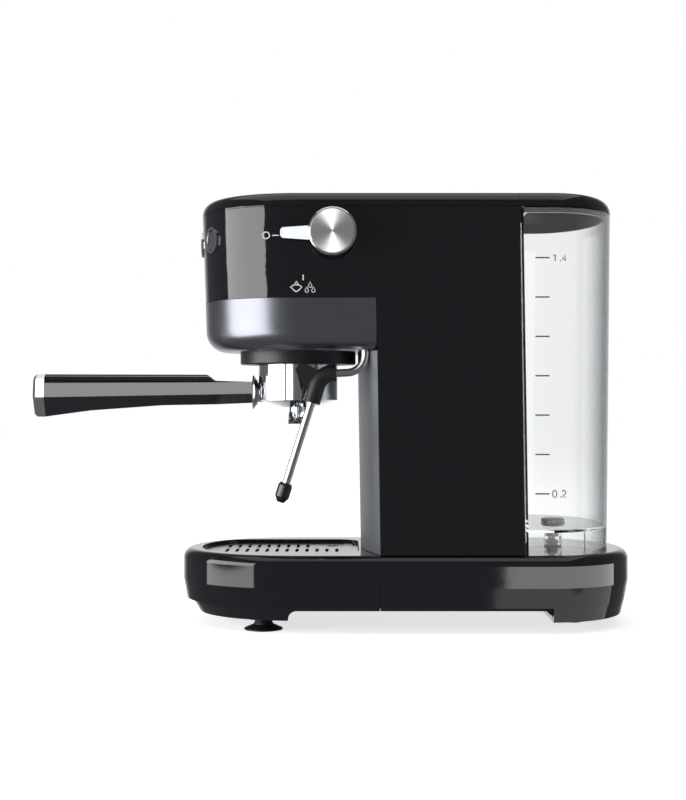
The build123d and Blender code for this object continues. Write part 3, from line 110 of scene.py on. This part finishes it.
def start(name, **sockets):
    """A new material, its tree, its shader and its coordinates in metres.

    sockets sets the shader's inputs, with _ for a space.
    """
    material = bpy.data.materials.new(name)
    material.use_nodes = True
    tree = material.node_tree
    shader = tree.nodes["Principled BSDF"]
    for socket, value in sockets.items():
        shader.inputs[socket.replace("_", " ")].default_value = value
    return material, tree, shader, add(tree, "TexCoord").outputs["Object"]


def surface(tree, shader, colour, rough, relief):
    """Link a ramp of colour, a range of roughness and a bump to the shader."""
    tree.links.new(colour.outputs["Color"], shader.inputs["Base Color"])
    tree.links.new(rough.outputs["Result"], shader.inputs["Roughness"])
    tree.links.new(relief.outputs["Normal"], shader.inputs["Normal"])


def between(dark, light):
    """The two ends of a colour ramp, from two hex codes."""
    return {0: linear(dark), 1: linear(light)}


def per(size):
    """The scale of a pattern that repeats at this size in metres."""
    return 1 / size


print("colour check, mid grey:", round(linear("808080")[0], 3))

# %% [markdown]
# # Gloss black ABS
# The casing, the base and the tray are moulded in ABS from a mirror-polished mould. ABS flows a little as
# it sets, so even a perfect gloss face has a long soft waviness, a few tenths of a degree, which makes
# the edges of a mirrored softbox wander slightly. Dust and fine wiping marks change the roughness by a
# few hundredths. The plastic itself is black with a trace of blue. Its IOR of 1.53 returns 4 % of the
# light seen head on, and far more at a grazing angle.

# %% Gloss black ABS
GLOSS_WAVE = 38 * MM
WIPE_MARK = 6 * MM

abs_gloss, tree, shader, place = start("gloss_black_abs", IOR=1.53)
marks = add(tree, "TexNoise", {"Vector": place, "Scale": per(WIPE_MARK), "Detail": 3}).outputs["Fac"]
wave = add(tree, "TexNoise", {"Vector": place, "Scale": per(GLOSS_WAVE), "Detail": 1}).outputs["Fac"]
colour = add(tree, "ValToRGB", {"Fac": marks}, between("0e0e12", "131318"))
rough = add(tree, "MapRange", {"Value": marks, "To Min": 0.03, "To Max": 0.075})
relief = add(tree, "Bump", {"Height": wave, "Strength": 0.05, "Distance": 0.4 * MM})
surface(tree, shader, colour, rough, relief)
print(abs_gloss.name, "waves every", round(GLOSS_WAVE / MM), "mm")

# %% [markdown]
# # Satin metallic lacquer
# The band under the head and the cover behind the cup are mouldings sprayed with a silver lacquer. The
# lacquer is a clear film full of flat aluminium flakes, each some 0.05 mm across. That is too fine to
# show here, so the flakes are drawn at 0.5 mm, faintly. They lie nearly flat, which makes the highlight
# wide but still directional: a metal at a roughness near 0.3, and not a mirror. The cover behind the cup
# has a coarser coat of about the same colour. At a roughness of 0.5 it spreads the lamps so far that it
# reads as graphite beside the band.

# %% Satin metallic lacquers
FLAKE = 0.5 * MM
SPRAY_CLOUD = 30 * MM


def lacquer(name, dark, light, rough):
    """A satin metallic lacquer between two hex colours."""
    material, tree, shader, place = start(name, Metallic=1.0)
    flake = add(tree, "TexVoronoi", {"Vector": place, "Scale": per(FLAKE)}).outputs["Distance"]
    cloud = add(tree, "TexNoise", {"Vector": place, "Scale": per(SPRAY_CLOUD), "Detail": 2}).outputs["Fac"]
    level = add(tree, "Mix", {"Factor": 0.35, "A": cloud, "B": flake}).outputs["Result"]
    colour = add(tree, "ValToRGB", {"Fac": level}, between(dark, light))
    spread = add(tree, "MapRange", {"Value": cloud, "To Min": rough - 0.02, "To Max": rough + 0.02})
    relief = add(tree, "Bump", {"Height": flake, "Strength": 0.04, "Distance": 0.05 * MM})
    surface(tree, shader, colour, spread, relief)
    return material


band_lacquer = lacquer("silver_lacquer_band", "898c94", "9fa2aa", 0.29)
cover_lacquer = lacquer("graphite_lacquer_cover", "8c8f95", "a0a4a9", 0.5)
print("lacquers:", band_lacquer.name, cover_lacquer.name)

# %% [markdown]
# # Textured black mouldings
# Parts that a hand or a filter holder rubs against are moulded in a spark-eroded mould, which leaves a
# fine leathery grain about 0.4 mm across. It scatters the highlight, hides fingerprints, and makes the
# black read as dark grey. Nylon inside the machine has the same mould finish without the black, and
# rubber has a softer, duller face. The filter holder's grip is a hard black plastic polished after
# moulding, so its grain is next to nothing. The silicone water tubes are milky and let a little light in,
# and the circuit board's green lacquer follows the same recipe with a broader grain.

# %% Textured mouldings and rubber
ERODED_GRAIN = 0.4 * MM
MOTTLE = 9 * MM


def moulding(name, dark, light, rough, relief_depth_and_edge_shade, grain=ERODED_GRAIN, **sockets):
    """A moulding with a grain, mottled between two hex colours."""
    material, tree, shader, place = start(name, **sockets)
    mottle = add(tree, "TexNoise", {"Vector": place, "Scale": per(MOTTLE), "Detail": 4}).outputs["Fac"]
    speck = add(tree, "TexNoise", {"Vector": place, "Scale": per(grain), "Detail": 2}).outputs["Fac"]
    colour = add(tree, "ValToRGB", {"Fac": mottle}, between(dark, light))
    spread = add(tree, "MapRange", {"Value": speck, "To Min": rough - 0.05, "To Max": rough + 0.05})
    relief = add(tree, "Bump", {"Height": speck, "Strength": 0.25, "Distance": relief_depth_and_edge_shade})
    surface(tree, shader, colour, spread, relief)
    return material


grained_black = moulding("grained_black_abs", "131316", "1a1a1e", 0.4, 0.05 * MM, IOR=1.53)
grip_black = moulding("polished_black_phenolic", "101114", "15161a", 0.12, 0.004 * MM, IOR=1.6)
rubber = moulding("black_rubber", "101011", "19191b", 0.45, 0.05 * MM, IOR=1.52)
silicone = moulding("milky_silicone", "c9c8c0", "dad9d2", 0.45, 0.03 * MM, IOR=1.41, Transmission_Weight=0.35)
nylon = moulding("grey_nylon", "8a8a8c", "98989a", 0.48, 0.04 * MM, IOR=1.53)
solder_mask = moulding("green_solder_mask", "0e3a1e", "155229", 0.3, 0.01 * MM, grain=1.5 * MM, IOR=1.5)
print("mouldings grained at", round(ERODED_GRAIN / MM, 2), "mm")

# %% [markdown]
# # Chrome plate
# The filter holder's bowl, the knob's lever and the button rings are plated with copper, nickel and a
# last very thin layer of chromium. The chromium is what we see: a slightly cool mirror. A plated die
# casting keeps the faint ripple of the casting under it, and handling leaves marks that only a change of
# roughness shows.

# %% Chrome plate
CASTING_RIPPLE = 14 * MM
HANDLING_MARK = 3 * MM

chrome, tree, shader, place = start("chrome_plate", Metallic=1.0)
marks = add(tree, "TexNoise", {"Vector": place, "Scale": per(HANDLING_MARK), "Detail": 4}).outputs["Fac"]
ripple = add(tree, "TexNoise", {"Vector": place, "Scale": per(CASTING_RIPPLE), "Detail": 1}).outputs["Fac"]
colour = add(tree, "ValToRGB", {"Fac": marks}, between("d6d8dc", "e2e4e7"))
rough = add(tree, "MapRange", {"Value": marks, "To Min": 0.05, "To Max": 0.13})
relief = add(tree, "Bump", {"Height": ripple, "Strength": 0.06, "Distance": 0.3 * MM})
surface(tree, shader, colour, rough, relief)
print(chrome.name, "ripples every", round(CASTING_RIPPLE / MM), "mm")

# %% [markdown]
# # Brushed stainless steel
# The drip grid, the cup plate and the wand's tube are stainless steel. A belt draws fine parallel
# scratches along the sheet, about 0.25 mm apart, so light spreads across them and not along them. We
# stretch a noise 160 times along one axis to draw the scratches, and turn the shader's anisotropy up so
# that the highlight smears the same way. The zinc-plated screws and springs keep marks of the same kind,
# and are duller.

# %% Brushed metals
SCRATCH = 0.25 * MM
SCRATCH_LENGTH = 40 * MM


def brushed(name, dark, light, rough, along, anisotropy=0.5):
    """A metal brushed along an axis: 0 for X, 1 for Y, 2 for Z."""
    material, tree, shader, place = start(name, Metallic=1.0, Anisotropic=anisotropy)
    scale = [per(SCRATCH)] * 3
    scale[along] = per(SCRATCH_LENGTH)
    stretched = add(tree, "Mapping", {"Vector": place, "Scale": scale}).outputs["Vector"]
    scratch = add(tree, "TexNoise", {"Vector": stretched, "Scale": 1.0, "Detail": 3}).outputs["Fac"]
    colour = add(tree, "ValToRGB", {"Fac": scratch}, between(dark, light))
    spread = add(tree, "MapRange", {"Value": scratch, "To Min": rough - 0.06, "To Max": rough + 0.06})
    tangent = add(tree, "Tangent", direction_type="RADIAL", axis="XYZ"[along])
    tree.links.new(tangent.outputs["Tangent"], shader.inputs["Tangent"])
    relief = add(tree, "Bump", {"Height": scratch, "Strength": 0.15, "Distance": 0.02 * MM})
    surface(tree, shader, colour, spread, relief)
    return material


steel_sheet = brushed("brushed_steel_sheet", "b4b6b8", "d2d3d5", 0.26, along=1)
steel_tube = brushed("polished_steel_tube", "c4c6c8", "d8dadc", 0.14, along=2, anisotropy=0.2)
zinc_steel = brushed("zinc_plated_steel", "989a9e", "b0b2b6", 0.38, along=2, anisotropy=0.2)
print("brushed metals scratched every", round(SCRATCH / MM, 2), "mm")

# %% [markdown]
# # Castings and brass
# The group head and the boiler halves are die-cast aluminium. The melt chills against the mould and
# leaves a mottled grey skin, rougher where the release agent burned on. Brass fittings are turned on a
# lathe, and keep its fine rings. A wave node draws 20 radians of wave in each unit of length, so its
# scale is worked out from that.

# %% Castings and brass
CASTING_SKIN = 2.5 * MM
LATHE_FEED = 0.987 * MM
WAVE_RADIANS = 20

cast_aluminium, tree, shader, place = start("die_cast_aluminium", Metallic=1.0)
skin = add(tree, "TexNoise", {"Vector": place, "Scale": per(CASTING_SKIN), "Detail": 6, "Roughness": 0.6})
colour = add(tree, "ValToRGB", {"Fac": skin.outputs["Fac"]}, between("96989a", "b9bbbd"))
rough = add(tree, "MapRange", {"Value": skin.outputs["Fac"], "To Min": 0.38, "To Max": 0.55})
relief = add(tree, "Bump", {"Height": skin.outputs["Fac"], "Strength": 0.2, "Distance": 0.1 * MM})
surface(tree, shader, colour, rough, relief)

brass, tree, shader, place = start("turned_brass", Metallic=1.0)
tarnish = add(tree, "TexNoise", {"Vector": place, "Scale": per(MOTTLE), "Detail": 3}).outputs["Fac"]
wave_scale = per(LATHE_FEED) * math.tau / WAVE_RADIANS
feed = add(tree, "TexWave", {"Vector": place, "Scale": wave_scale}, bands_direction="Y")
colour = add(tree, "ValToRGB", {"Fac": tarnish}, between("c9a55a", "d8b870"))
rough = add(tree, "MapRange", {"Value": tarnish, "To Min": 0.2, "To Max": 0.32})
relief = add(tree, "Bump", {"Height": feed.outputs["Fac"], "Strength": 0.1, "Distance": 0.02 * MM})
surface(tree, shader, colour, rough, relief)
print("castings and brass:", cast_aluminium.name, brass.name)

# %% [markdown]
# # Turned aluminium
# The knob's face is a disc turned on a lathe. The tool leaves rings some 0.1 mm apart, drawn here at 0.35
# mm so that they show. Rings scatter light outwards from the centre and not along themselves, and the eye
# sees that as two bright fans with two dark fans between them, which stay still while the knob turns. The
# shader does the same if its tangent runs round the disc's axis and its anisotropy is high.

# %% Turned aluminium for the knob's face
RING_STEP = 0.35 * MM
CHATTER = 1.2 * MM
knob_low, knob_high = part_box("knob_face")
knob_centre = (knob_low + knob_high) / 2

turned, tree, shader, place = start("turned_aluminium_disc", Metallic=1.0, Anisotropic=0.95)
from_axis = add(tree, "VectorMath", {0: place, 1: knob_centre}, operation="SUBTRACT").outputs["Vector"]
flat = add(tree, "VectorMath", {0: from_axis, 1: (0, 1, 1)}, operation="MULTIPLY").outputs["Vector"]
radius = add(tree, "VectorMath", {0: flat}, operation="LENGTH").outputs["Value"]
turns = add(tree, "Math", {0: radius, 1: math.tau / RING_STEP}, operation="MULTIPLY").outputs["Value"]
rings = add(tree, "Math", {0: turns}, operation="SINE").outputs["Value"]
chatter = add(tree, "TexNoise", {"Vector": radius, "Scale": per(CHATTER), "Detail": 2}).outputs["Fac"]
colour = add(tree, "ValToRGB", {"Fac": chatter}, between("d4d5d7", "e8e9ea"))
rough = add(tree, "MapRange", {"Value": chatter, "To Min": 0.46, "To Max": 0.54})
tangent = add(tree, "Tangent", direction_type="RADIAL", axis="X")
tree.links.new(tangent.outputs["Tangent"], shader.inputs["Tangent"])
relief = add(tree, "Bump", {"Height": rings, "Strength": 0.08, "Distance": 0.02 * MM})
surface(tree, shader, colour, rough, relief)
print("knob face centre in mm:", [round(v / MM, 1) for v in knob_centre])

# %% [markdown]
# # Clear SAN
# The tank is moulded in SAN, a clear, stiff plastic. It is glass to the shader: light goes through, bent
# by an IOR of 1.57. Its colour is painted grey where the eye looks along the wall, which is painted shade
# that darkens the tank's edges. A film of scale makes the surface a little less smooth than glass. The
# filter inside is the same plastic with a frosted face.

# %% Clear SAN
SCALE_FILM = 7 * MM
FACE_ON = 0.3
EDGE_ON = 0.8

clear_san, tree, shader, place = start("clear_san", IOR=1.57, Transmission_Weight=1.0)
film = add(tree, "TexNoise", {"Vector": place, "Scale": per(SCALE_FILM), "Detail": 4}).outputs["Fac"]
# Painted shade: the wall's colour turns from near white to grey at grazing angles, to darken the tank's
# edges.
graze = add(tree, "LayerWeight", {"Blend": 0.5}).outputs["Facing"]
relief_depth_and_edge_shade = {FACE_ON: linear("fdfefe"), EDGE_ON: linear("64686d")}
colour = add(tree, "ValToRGB", {"Fac": graze}, relief_depth_and_edge_shade)
rough = add(tree, "MapRange", {"Value": film, "To Min": 0.0, "To Max": 0.05})
relief = add(tree, "Bump", {"Height": film, "Strength": 0.03, "Distance": 0.05 * MM})
surface(tree, shader, colour, rough, relief)

frosted_san = moulding("frosted_san", "b9bcbe", "cfd2d4", 0.4, 0.02 * MM, IOR=1.57, Transmission_Weight=0.2)
print("tank plastics:", clear_san.name, frosted_san.name)

# %% [markdown]
# # Printed marks
# The marks on the side panel and the level lines on the tank are pad printed: a film of ink about 0.02 mm
# thick, slightly matt beside the gloss it lies on, with an edge that is never quite even.

# %% Pad printing inks
INK_GRAIN = 0.6 * MM


def ink(name, dark, light):
    """A pad printing ink between two hex colours."""
    material, tree, shader, place = start(name, Roughness=0.5, IOR=1.5)
    grain = add(tree, "TexNoise", {"Vector": place, "Scale": per(INK_GRAIN), "Detail": 2})
    colour = add(tree, "ValToRGB", {"Fac": grain.outputs["Fac"]}, between(dark, light))
    tree.links.new(colour.outputs["Color"], shader.inputs["Base Color"])
    return material


white_ink = ink("white_pad_ink", "c4c5c6", "dedfe0")
grey_ink = ink("grey_pad_ink", "48494b", "5a5b5d")
print("inks:", white_ink.name, grey_ink.name)

# %% [markdown]
# # Dressing the model
# The CAD model says which finish each part has, by the name of a slot. Most parts take the material of
# their slot. A few differ from their slot: the cover behind the cup has its own rougher lacquer, the
# wand's tube is brushed along its length, the grip and the wand's nozzle are polished, and the tank's
# filter is frosted.

# %% Give every part its material
SLOT_FINISH = {
    "gloss_black": abs_gloss,
    "satin_metallic": band_lacquer,
    "satin_black": grained_black,
    "chrome": chrome,
    "brushed_steel": steel_sheet,
    "turned_aluminium": turned,
    "cast_aluminium": cast_aluminium,
    "brass": brass,
    "rubber": rubber,
    "silicone": silicone,
    "clear_plastic": clear_san,
    "grey_plastic": nylon,
    "circuit_board": solder_mask,
    "zinc_steel": zinc_steel,
}
OWN_FINISH = {
    "column_cover": cover_lacquer,
    "wand_pipe": steel_tube,
    "handle_grip": grip_black,
    "wand_nozzle": grip_black,
    "tank_filter": frosted_san,
}
slot_of = {part["node"]: part["material_slot"] for part in frame["record"]["subparts"]}

for name, node in frame["nodes"].items():
    finish = OWN_FINISH.get(name, SLOT_FINISH[slot_of[name]])
    node.data.materials.clear()
    node.data.materials.append(finish)
print(len(frame["nodes"]), "parts dressed in", len(bpy.data.materials), "materials")

# %% [markdown]
# # The marks on the side panel
# The steam knob points at a ring and a dash for off, and turns down to a tick with the signs for steam
# and water. They are drawn as thin outlines of ink that stand 0.03 mm off the panel. A curve with a round
# bevel would look like wire, so each stroke is a flat ribbon instead, built from a line of points with a
# width. Its points are in millimetres from the knob's axis, as a printer's drawing would give them.

# %% A flat printed stroke
INK_LIFT = 0.03 * MM


def stroke(mesh, points, width, place, closed=False):
    """Adds a flat ribbon of this width along 2-D points. place puts a 2-D point on the object."""
    count = len(points)
    pairs = []
    for i, point in enumerate(points):
        before = points[i - 1] if closed or i > 0 else point
        after = points[(i + 1) % count] if closed or i < count - 1 else point
        along = (Vector(after) - Vector(before)).normalized()
        side = Vector((-along.y, along.x)) * width / 2
        middle = Vector(point)
        pairs.append([mesh.verts.new(place(middle + side)), mesh.verts.new(place(middle - side))])
    for i in range(count if closed else count - 1):
        first, second = pairs[i], pairs[(i + 1) % count]
        mesh.faces.new((first[0], first[1], second[1], second[0]))


def printed(name, strokes, width, place, material, body):
    """One printed piece from several strokes, each a (points, closed) pair."""
    mesh = bmesh.new()
    for points, closed in strokes:
        stroke(mesh, points, width, place, closed)
    bmesh.ops.recalc_face_normals(mesh, faces=mesh.faces)
    data = bpy.data.meshes.new(name)
    mesh.to_mesh(data)
    mesh.free()
    piece = bpy.data.objects.new(name, data)
    bpy.context.scene.collection.objects.link(piece)
    data.materials.append(material)
    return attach(piece, body)


def arc(centre, radius, start_angle, end_angle, steps=24):
    """Points along an arc, with angles in degrees."""
    angles = [math.radians(start_angle + (end_angle - start_angle) * i / steps) for i in range(steps + 1)]
    return [(centre[0] + radius * math.cos(a), centre[1] + radius * math.sin(a)) for a in angles]


# %% Off, steam and water marks
PANEL_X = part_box("casing")[1].x + INK_LIFT
MARK_LINE = 0.75
DROP_LINE = 0.45
RING_AT = (-45.8, -0.9)
RING_RADIUS = 2.3
RING_END = 345
OFF_DASH = [(-41.6, -0.9), (-37.2, -0.9)]
ON_TICK = [(-20.3, -27.9), (-20.3, -31.8)]
STEAM_AT = (-25.0, -36.4)
STEAM_OUTLINE = [
    (-3.9, 0.1), (-1.5, 1.5), (0, 3.9), (1.5, 1.5),
    (3.9, 0.1), (1.6, -2.2), (0, -3.3), (-1.6, -2.2),
]
STEAM_LID = [(-1.5, 1.5), (1.5, 1.5)]
DROPS_AT = [(-15.5, -34.8), (-17.8, -38.2), (-13.3, -38.2)]
DROP_WIDTH = 2.3
DROP_HEIGHT = 4.0
BELLY_BELOW = 0.18 * DROP_HEIGHT
BELLY_ARC = (-205, 25)


def on_panel(point):
    """A (y, z) point in millimetres, measured from the knob's axis, on the right side panel."""
    return Vector((PANEL_X, knob_centre.y + point.x * MM, knob_centre.z + point.y * MM))


def moved(points, spot):
    """The points, moved to lie round a spot."""
    return [(spot[0] + y, spot[1] + z) for y, z in points]


def drop(spot):
    """The outline of a drop round a spot, its tip up."""
    belly = arc((spot[0], spot[1] - BELLY_BELOW), DROP_WIDTH / 2, *BELLY_ARC, steps=14)
    return belly + [(spot[0], spot[1] + DROP_HEIGHT / 2)]


off_mark = [(arc(RING_AT, RING_RADIUS, 0, RING_END), True), (OFF_DASH, False)]
printed("mark_off", off_mark, MARK_LINE, on_panel, white_ink, "machine")
printed("mark_on", [(ON_TICK, False)], MARK_LINE, on_panel, white_ink, "machine")
steam_mark = [(moved(STEAM_OUTLINE, STEAM_AT), True), (moved(STEAM_LID, STEAM_AT), False)]
printed("mark_steam", steam_mark, MARK_LINE, on_panel, white_ink, "machine")
water_mark = [(drop(spot), True) for spot in DROPS_AT]
printed("mark_water", water_mark, DROP_LINE, on_panel, white_ink, "machine")

# %% [markdown]
# # The level scale on the tank
# Seven short lines on the tank's side mark the water level, a fifth of a litre apart, and plain numbers
# stand beside the highest and lowest. The wall turns the corner just behind the lines, so the print has
# to follow it. Instead of working the curve out again, we shoot a ray at the tank from outside and put
# each corner of the print where it lands.

# %% Level lines and numbers
LEVEL_TOP = 259.3 * MM
LEVEL_BOTTOM = 96.7 * MM
LEVELS = 7
LEVEL_ENDS = (141.4 * MM, 151.2 * MM)
FIGURE_HEIGHT = 4.6 * MM
FIGURE_WIDTH = 2.7 * MM
LEVEL_LINE = 1.0 * MM
FIGURE_LINE = 0.75 * MM
FIGURE_GAP = 2.2 * MM
POINT_ADVANCE = 0.9
DIGIT_ADVANCE = 1.5
OUTSIDE = 0.3
INWARD = Vector((-1, 0, 0))
tank_node = frame["nodes"]["water_tank"]


def on_tank(point):
    """A (y, z) point in metres, laid on the tank's outer face from the side of the knob."""
    hit, spot, normal, _ = tank_node.ray_cast(Vector((OUTSIDE, point.x, point.y)), INWARD)
    return spot + normal * INK_LIFT if hit else Vector((0, point.x, point.y))


FIGURES = {
    "0": [([(0, 0.2), (0, 0.8), (0.3, 1), (0.7, 1), (1, 0.8), (1, 0.2), (0.7, 0), (0.3, 0)], True)],
    "1": [([(0.2, 0.75), (0.6, 1), (0.6, 0)], False)],
    "2": [([(0, 0.8), (0.3, 1), (0.7, 1), (1, 0.8), (1, 0.6), (0, 0), (1, 0)], False)],
    "4": [([(0.75, 0), (0.75, 1), (0, 0.3), (1, 0.3)], False)],
    ".": [([(0.35, 0.03), (0.65, 0.03)], False)],
}


def figures(text, y, z):
    """Strokes for a number whose lower left corner is at (y, z)."""
    strokes = []
    for sign in text:
        for points, closed in FIGURES[sign]:
            strokes.append(([(y + a * FIGURE_WIDTH, z + b * FIGURE_HEIGHT) for a, b in points], closed))
        y += FIGURE_WIDTH * (POINT_ADVANCE if sign == "." else DIGIT_ADVANCE)
    return strokes


step = (LEVEL_TOP - LEVEL_BOTTOM) / (LEVELS - 1)
levels = [LEVEL_BOTTOM + i * step for i in range(LEVELS)]
lines = [([(LEVEL_ENDS[0], z), (LEVEL_ENDS[1], z)], False) for z in levels]
printed("level_lines", lines, LEVEL_LINE, on_tank, grey_ink, "tank")
beside = LEVEL_ENDS[1] + FIGURE_GAP
half_figure = FIGURE_HEIGHT / 2
numbers = figures("1.4", beside, LEVEL_TOP - half_figure) + figures("0.2", beside, LEVEL_BOTTOM - half_figure)
printed("level_numbers", numbers, FIGURE_LINE, on_tank, grey_ink, "tank")
print("levels every", round(step / MM, 1), "mm")

# %% [markdown]
# # Table and surroundings
# The object stands on white paper that runs on into a white background. The paper glows a little, as
# paper lit from all round does, so that only a faint shadow is left. It must not show in the gloss of the
# base, or the base would turn grey from below, so it is hidden from mirror rays. The surroundings are
# white to the camera and through the clear tank, and dim to everything else, as a dark studio is. The one
# exception is the wall behind the machine, which the deck, the tray and the grid mirror at a grazing
# angle, so mirror rays that run that way see white.

# %% Floor and world
FLOOR_SIZE = 12

floor_data = bpy.data.meshes.new("floor")
edge = FLOOR_SIZE / 2
corners = [(-edge, -edge, 0), (edge, -edge, 0), (edge, edge, 0), (-edge, edge, 0)]
floor_data.from_pydata(corners, [], [(0, 1, 2, 3)])
floor = bpy.data.objects.new("floor", floor_data)
bpy.context.scene.collection.objects.link(floor)
floor.visible_glossy = False
floor.visible_shadow = False

PAPER_FIBRE = 3 * MM
GLOW_NEAR = 0.7
GLOW_FAR = 0.83
FAR = 1.6

paper, tree, shader, place = start("white_paper", Roughness=0.9)
fibre = add(tree, "TexNoise", {"Vector": place, "Scale": per(PAPER_FIBRE), "Detail": 3}).outputs["Fac"]
shade = add(tree, "MapRange", {"Value": fibre, "To Min": 0.86, "To Max": 0.9})
tree.links.new(shade.outputs["Result"], shader.inputs["Base Color"])
away = add(tree, "VectorMath", {0: place}, operation="LENGTH").outputs["Value"]
glow_range = {"Value": away, "From Min": 0.0, "From Max": FAR, "To Min": GLOW_NEAR, "To Max": GLOW_FAR}
bounce = add(tree, "MapRange", glow_range)
tree.links.new(bounce.outputs["Result"], shader.inputs["Emission Strength"])
shader.inputs["Emission Color"].default_value = (1, 1, 1, 1)
floor_data.materials.append(paper)

STUDIO_DIM = 0.15
WALL_STARTS = -0.8
WALL_FULL = -0.97
world = bpy.data.worlds.new("studio")
bpy.context.scene.world = world
world.use_nodes = True
tree = world.node_tree
ray = add(tree, "LightPath").outputs
by_eye = {0: ray["Is Camera Ray"], 1: ray["Is Transmission Ray"]}
seen = add(tree, "Math", by_eye, operation="MAXIMUM").outputs["Value"]
direction = add(tree, "TexCoord").outputs["Generated"]
across = add(tree, "SeparateXYZ", {"Vector": direction}).outputs["X"]
wall = add(tree, "MapRange", {"Value": across, "From Min": WALL_STARTS, "From Max": WALL_FULL})
white = add(tree, "Math", {0: seen, 1: wall.outputs["Result"]}, operation="MAXIMUM").outputs["Value"]
level = add(tree, "MapRange", {"Value": white, "To Min": STUDIO_DIM, "To Max": 1.0})
tree.links.new(level.outputs["Result"], tree.nodes["Background"].inputs["Strength"])
tree.nodes["Background"].inputs["Color"].default_value = (1, 1, 1, 1)
print("floor", FLOOR_SIZE, "m across, studio at", STUDIO_DIM, "of white")

# %% [markdown]
# # Softboxes
# Each softbox is an area light on a circle round the machine, turned to face it. The pair on the front
# side draws the bright patch down the head's round front and the base's nose. The upper one would turn
# the lacquered band and the brushed plates plain white, so the band has a weaker copy and the cup plate
# and the grid have none. Cycles does this with light linking: a lamp can be told which objects it
# reaches, or which it leaves out.

# %% Softboxes
def softbox(name, azimuth, distance, z, width, height, glow):
    """An area light at an azimuth from +X towards -Y. glow is how bright its face is."""
    light = bpy.data.lights.new(name, "AREA")
    light.shape = "RECTANGLE"
    light.size = width
    light.size_y = height
    light.energy = glow * width * height * math.pi
    lamp = bpy.data.objects.new(name, light)
    angle = math.radians(azimuth)
    lamp.location = (distance * math.cos(angle), -distance * math.sin(angle), z)
    lamp.rotation_euler = (math.pi / 2, 0, math.pi / 2 - angle)
    lamp.visible_camera = False
    lamp.visible_transmission = False
    bpy.context.scene.collection.objects.link(lamp)
    return lamp


def light_only(lamp, *names, link="INCLUDE"):
    """Let a lamp reach these nodes only, or all but these where link is EXCLUDE."""
    lit = bpy.data.collections.new(lamp.name)
    for name in names:
        lit.objects.link(frame["nodes"][name])
    for member in lit.collection_objects:
        member.light_linking.link_state = link
    lamp.light_linking.receiver_collection = lit


# The lamps' azimuth and distance, and the two lamps' place above the table, width and height.
FRONT = (65.9, 1.135)
FRONT_UPPER = (0.25, 1.145, 0.6)
FRONT_LOWER = (-0.23, 1.145, 0.3)

front = softbox("softbox_front", *FRONT, *FRONT_UPPER, 5.6)
softbox("softbox_front_low", *FRONT, *FRONT_LOWER, 3.6)
print("front lamps reach", FRONT_UPPER[0] + FRONT_UPPER[2] / 2, "m above the table")

# %% [markdown]
# # Lights with one job
# The bowl, the wand and the buttons need something bright to mirror from the camera's own side, and the
# gloss panel between them must not see it. The same goes for the knob's face and lever and for the grip's
# side, each with a panel where its own mirror direction points. The camera is higher than the base, so
# the base's sides mirror what lies below the table's height, and its lamps hang there: the paper is
# hidden from mirror rays and doesn't cover them. The rear patch ends in a straight line at the crease, so
# these lamps come in pairs, bright above and dim below, and two pairs follow the rear corner round.

# %% Lights linked to a few parts
BASE = ("base_housing", "drip_tray")
HOLDER = ("portafilter_bowl", "twin_spout", "handle_ring", "handle_cap")
WAND = ("wand_pipe", "wand_nozzle")
BUTTONS = ("button_left", "button_middle", "button_right", "button_bezels")
REAR = (-34.5, 1.3)
TAIL = (-81.5, 1.3)
WIDE = 1.13

# Each row is a name, azimuth, distance, z, width, height and glow, and the nodes that the lamp reaches.
LINKED_LAMPS = [
    ("panel_beside_camera", 24, 1.3, 0.16, 0.42, 1.4, 2.6, HOLDER + WAND + BUTTONS),
    ("softbox_rear", *REAR, -0.265, WIDE, 0.47, 3.4, BASE),
    ("softbox_rear_low", *REAR, -0.86, WIDE, 0.66, 1.0, BASE),
    ("softbox_tail", *TAIL, -0.14, WIDE, 0.22, 3.4, BASE),
    ("softbox_tail_low", *TAIL, -0.73, WIDE, 0.92, 1.0, BASE),
    ("panel_for_band", *FRONT, *FRONT_UPPER, 3.3, ("head_band",)),
    ("panel_for_knob_face", 26, 1.3, 0.42, 0.45, 0.5, 11.0, ("knob_face",)),
    ("panel_for_lever", 3, 1.3, 0.42, 0.4, 0.3, 1.2, ("knob_lever",)),
    ("panel_for_grip", 13, 1.3, 0.6, 0.8, 0.42, 4.8, ("handle_grip",)),
]
for *settings, reached in LINKED_LAMPS:
    light_only(softbox(*settings), *reached)
light_only(front, "head_band", "cup_plate", "drip_grid", link="EXCLUDE")

overhead = softbox("overhead", azimuth=0, distance=0, z=1.6, width=2.0, height=2.0, glow=0.9)
overhead.rotation_euler = (0, 0, 0)
print(len(bpy.data.lights), "lights")
